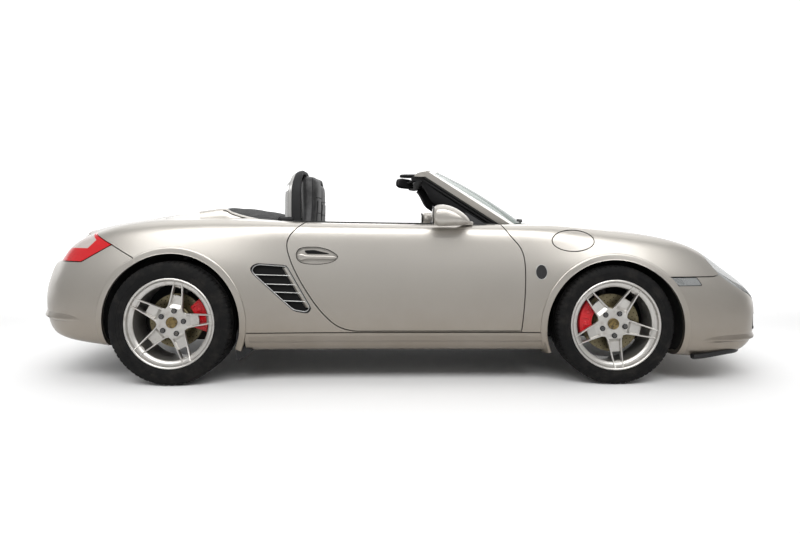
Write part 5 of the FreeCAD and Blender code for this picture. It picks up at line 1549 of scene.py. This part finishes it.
def screen(u, v, lift=0.0):
    """The windscreen's outer surface: u runs from -1 to 1 across and v from 0 to 1 upwards.

    Straight lines join a bowed foot, whose bow grows as |u|^2.4, to a bowed header, whose bow and crown
    grow as u^2. A belly of 4 v (1 - v) (1 - u^2) and the lift are added along the normal.
    """
    u, v = np.broadcast_arrays(np.asarray(u, float), np.asarray(v, float))

    def point(u, v):
        low = spots(0.813 - 0.173 * np.abs(u) ** 2.4, SCREEN_HALF * u, 0.862)
        high = np.stack([0.205 - 0.049 * u**2, 0.56 * u, 1.236 - 0.05 * u**2], -1)
        return low + (high - low) * v[..., None]

    step = 0.001
    along = point(u + step, v) - point(u - step, v)
    rise = point(u, v + step) - point(u, v - step)
    normal = np.cross(along, rise)
    normal /= np.linalg.norm(normal, axis=-1)[..., None]
    normal *= np.sign(normal[..., 2:])
    belly = 0.026 * 4 * v * (1 - v) * (1 - u * u)
    return point(u, v) + normal * (belly + lift)[..., None]


# Trims of the body

class CAR_OT_arches(bpy.types.Operator):
    """Builds the wheel openings' lips: tilted bands that follow the panels and part at their joints"""
    bl_idname = "car.arches"
    bl_label = "Arch lips"

    def execute(self, context):
        section = np.array([
            (0.001, -0.012), (0.0005, -0.0015), (0.004, 0.0005), (0.014, 0.0022), (0.026, 0.0044),
            (0.0325, 0.0052), (0.0352, 0.0036), (0.036, -0.001),
        ])
        for axle, place, height, radius, spans in (
            ("front", FRONT_AXLE, 0.302, 0.373, ((-24.0, 43.0), (43.5, 200.0))),
            ("rear", REAR_AXLE, 0.333, 0.378, ((-21.0, 119.9), (120.3, 200.0))),
        ):
            lip = Shape()
            for start, stop in spans:
                turn = np.radians(spread(start, stop, 110))[:, None]
                reach = radius + section[None, :, 0]
                x, z = place + reach * np.cos(turn), height + reach * np.sin(turn)
                at = SKIN.sides(x, z, 1)
                at[:, :2, 1] = at[:, 2:3, 1]
                at[..., 1] += section[None, :, 1]
                lip.plate(at, (0, -0.004, 0))
            pair(lip, f"{axle}_arch_lip", "silver_paint", sharp=35)
        return {"FINISHED"}


HANDLE = [
    (-0.3358, 0.695), (-0.3517, 0.7105), (-0.3922, 0.733), (-0.4463, 0.745), (-0.505, 0.7455),
    (-0.543, 0.739), (-0.56, 0.72), (-0.562, 0.6985), (-0.554, 0.676), (-0.53, 0.66), (-0.4869, 0.654),
    (-0.4328, 0.653), (-0.3762, 0.662), (-0.345, 0.678),
]
INTAKE = [
    (-0.809, 0.634), (-0.7785, 0.658), (-0.6135, 0.6466), (-0.479, 0.413), (-0.498, 0.388), (-0.573, 0.401),
    (-0.8, 0.61),
]
MARKER = [(1.466, 0.5785), (1.618, 0.5785), (1.644, 0.536), (1.507, 0.536)]


class CAR_OT_door_trims(bpy.types.Operator):
    """Builds the doors' handles in their recesses, belt seals, inner cards and arm rests"""
    bl_idname = "car.door_trims"
    bl_label = "Door trims"

    def execute(self, context):
        ring = outline(HANDLE, 120, 3)
        surface = SKIN.fit(ring[:, 0], ring[:, 1], 1, 0.06)
        # The black cord round the handle's recess is a painted shadow line at its edge.
        edge = surface(*shrunk(ring, 1.015).T, 0.0002)
        pair(corded(edge, 0.0016, up=(0, 1, 0)), "handle_shadow_line", "seal_rubber", "{side}_door")
        x = spread(-0.5555, -0.343, 60)
        share = np.clip((x + 0.5555) / 0.2125, 0, 1)
        ends = np.sqrt(np.clip(1 - np.abs(2 * share - 1) ** 5, 0.001, 1))
        tall = (0.0098 + 0.0125 * ramp(x, -0.5, -0.54)) * ends
        deep = 0.0075 * ends
        unit = loop(28, 2.8)
        line = surface(x, 0.6935 - 0.004 * share, 0.001)
        grid = line[:, None] + np.stack([
            np.zeros((60, 28)), deep[:, None] * unit[None, :, 0], tall[:, None] * unit[None, :, 1],
        ], -1)
        pair(Shape().tube(grid), "handle_bar", "silver_paint", "{side}_door", sharp=50)
        # The slot behind the handle is a near-black piece: painted shade.
        slot = [(-0.522, 0.727), (-0.468, 0.73), (-0.39, 0.712), (-0.38, 0.707), (-0.51, 0.709)]
        slot = outline(slot, 80, 3)
        pair(capped(slot, surface, -0.0134, -0.0112), "handle_slot_shade", "painted_shade_black", "{side}_door")
        x = spread(-0.6, 0.53, 90)
        seal = SKIN.tops(x, 0.742, 0.0025)
        pair(corded(seal, 0.006, 10, 0.7, ring=False), "belt_seal", "seal_rubber", "{side}_door")
        card = rounded((1.1, 0.009, 0.42), (0.02, 0.7085, 0.625), 12, 20, 60)
        card.join(rounded((0.42, 0.05, 0.045), (-0.08, 0.683, 0.6), 4))
        card.join(rounded((0.62, 0.022, 0.09), (0.1, 0.697, 0.44), 5))
        pair(card, "door_card", "soft_black", "{side}_door", sharp=50)
        pull = [(0.16, 0.7, 0.655), (0.17, 0.672, 0.668), (0.24, 0.672, 0.675), (0.26, 0.7, 0.668)]
        pull = through(pull, 24)
        pair(corded(pull, 0.006, 12, ring=False), "door_pull", "satin_metal", "{side}_door")
        return {"FINISHED"}


class CAR_OT_intakes(bpy.types.Operator):
    """Builds the side air intakes: a near-black sheet as the duct's painted shade, four slats, thin frame and
    the bevelled front wall
    """
    bl_idname = "car.intakes"
    bl_label = "Side intakes"

    def execute(self, context):
        ring = outline(INTAKE, 180, 4)
        surface = SKIN.fit(ring[:, 0], ring[:, 1], 1, 0.07)
        # The duct is a near-black sheet at the bottom of the opening: painted shade.
        pair(capped(shrunk(ring, 0.985), surface, -0.0215, -0.0195), "intake_duct_shade", "painted_shade_black")
        for name, material, share, lift in (
            ("intake_frame", "gloss_black", 1.004, 0.0004), ("intake_edge", "satin_metal", 0.955, -0.002),
        ):
            pair(corded(surface(*shrunk(ring, share).T, lift), 0.0022, up=(0, 1, 0)), name, material)
        slats = Shape()
        closed = np.concatenate([shrunk(ring, 0.955), shrunk(ring, 0.955)[:1]])
        for z in (0.598, 0.548, 0.504, 0.457):
            low, high = closed[:-1], closed[1:]
            cross = (low[:, 1] - z) * (high[:, 1] - z) <= 0
            share = (z - low[cross, 1]) / (high[cross, 1] - low[cross, 1])
            xs = low[cross, 0] + share * (high[cross, 0] - low[cross, 0])
            x = spread(xs.min(), xs.max(), 24)
            path = surface(x, z - 0.006 * spread(0, 1, 24), -0.008)
            slats.tube(carried(path, loop(14, 3.0) * (0.007, 0.0022)))
        pair(slats, "intake_slats", "satin_metal")
        top, foot = np.array((-0.618, 0.641)), np.array((-0.486, 0.412))
        run = spread(0.03, 0.97, 40)[:, None]
        edge = top + (foot - top) * run
        rows = [
            surface(edge[:, 0] - back, edge[:, 1], -drop)
            for back, drop in ((0, 0.0005), (0.008, 0.003), (0.02, 0.012), (0.026, 0.019))
        ]
        pair(Shape().plate(np.stack(rows, 1), (0.003, -0.003, 0)), "intake_wall", "silver_paint")
        return {"FINISHED"}


class CAR_OT_lamps(bpy.types.Operator):
    """Builds the side markers, the bare badge plates, the headlamps' insides and the third brake lamp"""
    bl_idname = "car.lamps"
    bl_label = "Lamps"

    def execute(self, context):
        self.markers()
        self.badges()
        self.headlamps()
        self.brake_lamp()
        return {"FINISHED"}

    def markers(self):
        """Builds the side markers: back, dark socket, lens and frame, one over the other on the skin."""
        ring = outline(MARKER, 120, 2)
        surface = SKIN.fit(ring[:, 0], ring[:, 1], 1, 0.02)
        pair(capped(shrunk(ring, 0.98), surface, -0.004, 0.0012), "marker_back", "satin_metal")
        dark = outline([(1.48, 0.573), (1.53, 0.573), (1.545, 0.542), (1.512, 0.542)], 60, 2)
        pair(capped(dark, surface, 0.0008, 0.0022), "marker_socket", "gloss_black")
        pair(capped(shrunk(ring, 0.96), surface, 0.0026, 0.0038), "marker_lens", "clear_lens")
        pair(corded(surface(*ring.T, 0.0012), 0.0024, up=(0, 1, 0)), "marker_frame", "black_plastic")

    def badges(self):
        """Builds the bare oval plates on the front fenders."""
        a = turns(48)
        plate = np.stack([0.768 + 0.031 * np.cos(a), 0.61 + 0.04 * np.sin(a)], -1)
        surface = SKIN.fit(plate[:, 0], plate[:, 1], 1, 0.02)
        pair(capped(shrunk(plate, 0.96), surface, -0.001, 0.0018), "badge_plate", "gloss_black")
        pair(corded(surface(*plate.T, 0.001), 0.0018, up=(0, 1, 0)), "badge_rim", "satin_metal")

    def headlamps(self):
        """Builds the headlamps' insides: a base under the lens, with three bowls and their eyes."""
        lean = math.radians(-28)
        share = spread(0.04, 0.93, 12)[:, None]
        a = turns(64)[None]
        along, over = 0.205 * share * np.cos(a), 0.118 * share * np.sin(a)
        lamp_x, lamp_y, lamp_half = 1.865, 0.632, 0.205
        x = lamp_x + along * math.cos(lean) - over * math.sin(lean)
        y = lamp_y + along * math.sin(lean) + over * math.cos(lean)
        base = SKIN.tops(x, y, -0.036)
        inside = Shape().tube(np.concatenate([base, base[::-1] - (0, 0, 0.004)]))
        pair(inside, "lamp_base", "satin_metal", sharp=60)
        bowls, lenses = Shape(), Shape()
        sunk = 0.058
        turn = swung(-50)
        for share, radius in ((0.4, 0.046), (-0.12, 0.04), (-0.56, 0.024)):
            x = lamp_x + lamp_half * share * math.cos(lean)
            y = lamp_y + lamp_half * share * math.sin(lean)
            z = SKIN.tops(np.full(7, x), np.full(7, y))[3, 2] - sunk
            r = radius * 0.86
            bowl = [
                (-0.012, 0), (-0.012, r), (0.004, r * 1.05), (0.006, r), (-0.002, r * 0.8), (-0.004, r * 0.7),
                (-0.004, 0),
            ]
            lens = [(-0.004, 0), (-0.004, r * 0.62), (0.002, r * 0.56), (0.008, r * 0.36), (0.0105, 0)]
            bowls.join(lathe(bowl, 40, "Z").moved(turn, (x, y, z)))
            lenses.join(lathe(lens, 40, "Z").moved(turn, (x, y, z)))
        pair(bowls, "lamp_bowls", "bright_metal", sharp=40)
        pair(lenses, "lamp_eyes", "gloss_black", sharp=60)

    def brake_lamp(self):
        """Builds the third brake lamp, a strip on the rear lid."""
        ends = spread(-0.16, 0.16, 40)
        line = SKIN.tops(-2.02, ends, 0.0012)
        strip = carried(line, loop(16, 5.0) * (0.011, 0.0022))
        Shape().tube(strip).make("third_brake_lamp", "red_lens", "rear_lid")


class CAR_OT_nose_and_tail(bpy.types.Operator):
    """Builds the front grilles and lip, bumper creases, bare plate panel, tail-pipe trims and sill flaps"""
    bl_idname = "car.nose_and_tail"
    bl_label = "Nose and tail"

    def execute(self, context):
        self.grilles()
        self.creases()
        self.lip()
        self.plate_panel()
        self.tail_pipes()
        self.sills()
        return {"FINISHED"}

    def grilles(self):
        """Builds the three front grilles: slats and bars before a near-black wall of painted shade, in a
        frame.
        """
        slats, back, frames = Shape(), Shape(), Shape()
        foot, top = 0.277, 0.363
        for inner, outer, bars in ((-0.318, 0.318, 5), (0.387, 0.688, 3), (-0.688, -0.387, 3)):
            y = spread(inner, outer, 60)
            edge = SKIN.ends(y, 0.372, 1)[:, 0]
            for z in spread(0.289, 0.3505, 4):
                path = spots(edge - 0.02, y, z)
                slats.tube(carried(path, loop(12, 3.0) * (0.011, 0.0028)))
            for place in spread(inner + 0.05, outer - 0.05, bars):
                x = float(np.interp(place, y, edge))
                slats.join(rounded((0.012, 0.005, 0.084), (x - 0.032, place, 0.32), 6, 8, 16))
            # The wall behind the slats is a near-black sheet: painted shade in the openings.
            wall = np.stack([spots(edge - 0.075, y, z) for z in (foot, top)], 1)
            back.plate(wall, (-0.003, 0, 0))
            corner = np.array([(inner, foot), (outer, foot), (outer, top), (inner, top)])
            ring = outline(corner, 160, 3)
            x = np.interp(ring[:, 0], y, edge)
            path = np.stack([x - 0.004, ring[:, 0], ring[:, 1]], -1)
            frames.join(corded(path, 0.0042, up=(1, 0, 0)))
        slats.make("nose_slats", "black_plastic", sharp=50)
        back.make("nose_duct_shade", "painted_shade_black")
        frames.make("nose_frames", "black_plastic")

    def creases(self):
        """Builds the bumpers' creases: a profile carried round the skin, which sinks into it at its ends."""
        profile = ((-0.002, -0.014), (0.0125, -0.004), (0.014, 0.002), (0.004, 0.026), (-0.004, 0.034))
        for name, middle, angles, z, rise in (
            ("front_crease", 1.2, np.radians(spread(-66, 66, 180)), 0.232, 0.012),
            ("rear_crease", -1.25, np.radians(spread(118, 242, 180)), 0.352, -0.016),
        ):
            at = SKIN.bow(middle, angles, z)
            side = np.abs(np.sin(angles))
            out = spots(np.cos(angles), np.sin(angles), 0.0)
            fade = ramp(np.abs(spread(-1, 1, len(at))), 1.0, 0.8)
            rows = []
            for lift, up in profile:
                row = at + out * (lift * fade - 0.0035 * (1 - fade))[:, None]
                row[:, 2] += up + rise * (side - 0.6)
                rows.append(row)
            Shape().plate(np.stack(rows, 1), (0, 0, 0)).make(name, "silver_paint", sharp=30)

    def lip(self):
        """Builds the black lip below the nose."""
        angles = np.radians(spread(-64, 64, 160))
        out = spots(np.cos(angles), np.sin(angles), 0.0)
        lip = SKIN.bow(1.2, angles, 0.2) - out * (0.016 + 0.1 * ramp(np.abs(angles), 0.95, 0.55))[:, None]
        lip[:, 2] = 0.146 + 0.02 * ramp(lip[:, 0], 1.6, 1.82)
        lip = Shape().tube(carried(lip, loop(16, 4.0) * (0.02, 0.013)))
        lip.make("front_lip", "black_plastic", sharp=50)

    def plate_panel(self):
        """Builds the bare panel for a number plate."""
        y = spread(-0.27, 0.27, 30)
        rows = [SKIN.ends(y, z, -1, 0.002) for z in spread(0.49, 0.6, 8)]
        Shape().plate(np.stack(rows, 1), (0.003, 0, 0)).make("plate_panel", "black_plastic")

    def tail_pipes(self):
        """Builds the tail pipes' trims, and near-black discs inside them as painted shade."""
        trim = lathe([
            (-2.149, 0.0385), (-2.1495, 0.0355), (-2.146, 0.0345), (-2.06, 0.0345), (-2.06, 0.0395),
            (-2.14, 0.0395),
        ], 48, "X")
        # A near-black disc inside each pipe: painted shade.
        end = lathe([(-2.05, 0), (-2.05, 0.034), (-2.045, 0.034), (-2.045, 0)], 36, "X")
        for shape, name, material, sharp in (
            (trim, "tail_pipe_trims", "bright_metal", 40), (end, "tail_pipe_shade", "painted_shade_black", 35),
        ):
            both = shape.moved(shift=(0, -0.046, 0.282)).join(shape.moved(shift=(0, 0.046, 0.282)))
            both.make(name, material, sharp=sharp)

    def sills(self):
        """Builds the flaps behind the sills and the sills' creases."""
        ring = outline([
            (-0.886, 0.3), (-0.872, 0.24), (-0.852, 0.207), (-0.797, 0.186), (-0.845, 0.15), (-0.886, 0.125),
            (-0.896, 0.2),
        ], 90, 2)
        rows = [spots(ring[:, 0], y, ring[:, 1]) for y in (0.6, 0.602, 0.84, 0.842)]
        pair(Shape().tube(np.stack(rows)), "sill_flap", "black_plastic", sharp=40)
        x = spread(-0.815, 0.77, 60)
        surface = SKIN.fit(np.array([-0.7, 0.66]), np.array([0.22, 0.26]), 1, 0.01)
        rows = [
            surface(x, z, lift)
            for z, lift in ((0.226, -0.001), (0.233, 0.0065), (0.24, 0.0085), (0.257, 0.002), (0.266, -0.001))
        ]
        pair(Shape().plate(np.stack(rows, 1), (0, -0.004, 0)), "sill_crease", "silver_paint", sharp=30)


class CAR_OT_cabin(bpy.types.Operator):
    """Builds the carpets, seat belts, the folds of the stowed roof and the painted flanks beside it"""
    bl_idname = "car.cabin"
    bl_label = "Cabin linings"

    def execute(self, context):
        self.carpets()
        self.roof()
        self.flanks()
        self.belts()
        return {"FINISHED"}

    def carpets(self):
        """Builds the floor's carpet and the rear wall's."""
        floor = rounded((1.27, 1.16, 0.004), (0.06, 0, 0.2072), 14, 8, 80)
        floor.join(rounded((0.006, 1.16, 0.62), (-0.5865, 0, 0.53), 14, 16, 80))
        floor.make("carpet", "carpet", sharp=50)

    def roof(self):
        """Builds the stowed roof's top, lifted by waves of |sin|^0.7 that fade towards its rim."""
        roof = Skin(["folded_roof"])
        x = spread(-1.12, -0.745, 60)[:, None]
        y = spread(-0.55, 0.55, 60)[None]
        top = roof.tops(x, y)
        wave = np.abs(np.sin((x + 0.9) * 26 + 0.5 * np.cos(y * 5))) ** 0.7
        side = ramp(np.abs(y), 0.55, 0.47) * ramp(x, -1.12, -1.09) * ramp(x, -0.745, -0.77)
        top[..., 2] += 0.002 + 0.007 * wave * side
        Shape().plate(top, (0, 0, -0.006)).make("roof_folds", "roof_cloth", sharp=60)

    def flanks(self):
        """Builds the painted flanks beside the roof, which follow a crest line and drop to the deck."""
        crest = through([
            (-1.15, 0.944), (-1.06, 0.957), (-1.0, 0.96), (-0.963, 0.941), (-0.888, 0.918), (-0.79, 0.898),
            (-0.685, 0.884),
        ], 70)
        x, top = crest[:, :1], crest[:, 1:]
        foot = 0.862
        y = np.array([0.634, 0.637, 0.643, 0.65, 0.658, 0.666, 0.67, 0.64])[None]
        z = np.concatenate([
            top - 0.03, top - 0.004, top, top - 0.002, top - 0.01, (top + foot) / 2, foot + 0 * top,
            foot + 0 * top,
        ], 1)
        pair(Shape().tube(spots(x, y, z)), "roof_flank", "silver_paint", sharp=50)
        edge = spots(crest[20:, 0], 0.6615, crest[20:, 1] - 0.012)
        pair(corded(edge, 0.0022, 8, ring=False), "roof_flank_seal", "seal_rubber")

    def belts(self):
        """Builds the seat belts, flat bands along a curve beside each seat."""
        belts = Shape()
        for place, back in ((-0.355, 0.0), (0.355, -0.06)):
            sign = 1 if place > 0 else -1
            path = through([
                (-0.575, place + sign * 0.19, 0.86), (-0.572, place + sign * 0.195, 0.78),
                (-0.565, place + sign * 0.21, 0.62), (-0.5 + back, place + sign * 0.235, 0.45),
                (-0.4 + back, place + sign * 0.25, 0.32),
            ], 60)
            belts.tube(carried(path, loop(16, 6.0) * (0.023, 0.0012), up=(1, 0, 0.4)))
        belts.make("seat_belts", "soft_black", sharp=50)


# Stage

CAMERA_PLACE = (0.0, -4.27, 0.86)
SENSOR_WIDTH, FOCAL_LENGTH = 36.0, 28.35
PICTURE_SHIFT = -41 / 800


class CAR_OT_stage(bpy.types.Operator):
    """Builds the pale floor, the soft lights and the camera"""
    bl_idname = "car.stage"
    bl_label = "Stage"

    def execute(self, context):
        for build in (self.floor, self.lights, self.camera):
            build(context.scene)
        return {"FINISHED"}

    def floor(self, scene):
        """Builds a flat floor that curves up into a wall far behind the car."""
        bend = np.radians(spread(0, 90, 24))
        y = np.concatenate([spread(-30, 8, 77), 8 + 6 * np.sin(bend[1:]), [14.0]])
        z = np.concatenate([np.zeros(77), 6 - 6 * np.cos(bend[1:]), [30.0]]) - 0.002
        x = spread(-40, 40, 3)[:, None]
        sweep = spots(x, y, z)
        mesh = bpy.data.meshes.new("floor")
        mesh.from_pydata(sweep.reshape(-1, 3), [], quads(*sweep.shape[:2]).tolist())
        mesh.polygons.foreach_set("use_smooth", np.ones(len(mesh.polygons), bool))
        mesh.materials.append(finish("floor"))
        item = bpy.data.objects.new("floor", mesh)
        scene.collection.objects.link(item)

    def lights(self, scene):
        """Builds a white world and three soft lamps."""
        world = bpy.data.worlds.new("studio")
        world.use_nodes = True
        sky = world.node_tree.nodes["Background"]
        sky.inputs[0].default_value = (1.0, 1.0, 1.0, 1.0)
        sky.inputs[1].default_value = 0.54
        scene.world = world
        for name, place, aim, size, power in (
            ("overhead", (0.0, 0.2, 3.6), (0, 0.2, 0), (7.5, 2.6), 34.0),
            ("near_side", (-0.4, -3.7, 3.5), (-0.4, -0.5, 0.7), (8.0, 1.9), 104.0),
            ("far_side", (0.0, 4.6, 3.4), (0, 0, 0.6), (7.0, 1.6), 26.0),
        ):
            lamp = bpy.data.lights.new(name, "AREA")
            lamp.shape = "RECTANGLE"
            lamp.size, lamp.size_y = size
            lamp.energy = power
            lamp.spread = math.radians(110)
            holder = bpy.data.objects.new(name, lamp)
            holder.location = place
            holder.rotation_euler = (Vector(aim) - Vector(place)).to_track_quat("-Z", "Y").to_euler()
            scene.collection.objects.link(holder)

    def camera(self, scene):
        """Builds the camera at the photographer's place, looking level across the car."""
        camera = bpy.data.cameras.new("camera")
        camera.sensor_width = SENSOR_WIDTH
        camera.lens = FOCAL_LENGTH
        camera.shift_y = PICTURE_SHIFT
        holder = bpy.data.objects.new("camera", camera)
        holder.location = CAMERA_PLACE
        holder.rotation_euler = (math.radians(90), 0, 0)
        scene.collection.objects.link(holder)
        scene.camera = holder
        scene.view_settings.view_transform = "Standard"


# Panel and registration

class CAR_PT_panel(bpy.types.Panel):
    """Lists the steps that dress the car"""
    bl_idname = "CAR_PT_panel"
    bl_label = "Car"
    bl_space_type = "VIEW_3D"
    bl_region_type = "UI"
    bl_category = "Car"

    def draw(self, context):
        for step in STEPS:
            self.layout.operator(step.bl_idname)


STEPS = [
    CAR_OT_finishes, CAR_OT_wheels, CAR_OT_tyres, CAR_OT_calipers, CAR_OT_seats, CAR_OT_hoops, CAR_OT_mirrors,
    CAR_OT_steering, CAR_OT_dashboard, CAR_OT_screen, CAR_OT_arches, CAR_OT_door_trims, CAR_OT_intakes,
    CAR_OT_lamps, CAR_OT_nose_and_tail, CAR_OT_cabin, CAR_OT_stage,
]
CLASSES = [WheelSizes, SeatSizes, Colours, CAR_PT_panel] + STEPS


def register():
    """Registers the classes and the sizes that the scene carries."""
    for item in CLASSES:
        bpy.utils.register_class(item)
    bpy.types.Scene.car_front_wheel = bpy.props.PointerProperty(type=WheelSizes)
    bpy.types.Scene.car_rear_wheel = bpy.props.PointerProperty(type=WheelSizes)
    bpy.types.Scene.car_seat = bpy.props.PointerProperty(type=SeatSizes)
    bpy.types.Scene.car_colours = bpy.props.PointerProperty(type=Colours)


def unregister():
    """Takes back what register() did."""
    for name in ("car_front_wheel", "car_rear_wheel", "car_seat", "car_colours"):
        delattr(bpy.types.Scene, name)
    for item in reversed(CLASSES):
        bpy.utils.unregister_class(item)


def main():
    """Builds everything in order with the rear wheels' own sizes."""
    register()
    rear = bpy.context.scene.car_rear_wheel
    rear.track, rear.tyre_radius, rear.tyre_width, rear.rim_width = 1.528, REAR_HUB, 0.265, 0.254
    rear.disc_radius, rear.disc_face, rear.spoke_angle = 0.1495, -0.002, 78.0
    for step in STEPS:
        group, name = step.bl_idname.split(".")
        getattr(getattr(bpy.ops, group), name)()


if __name__ == "__main__":
    main()
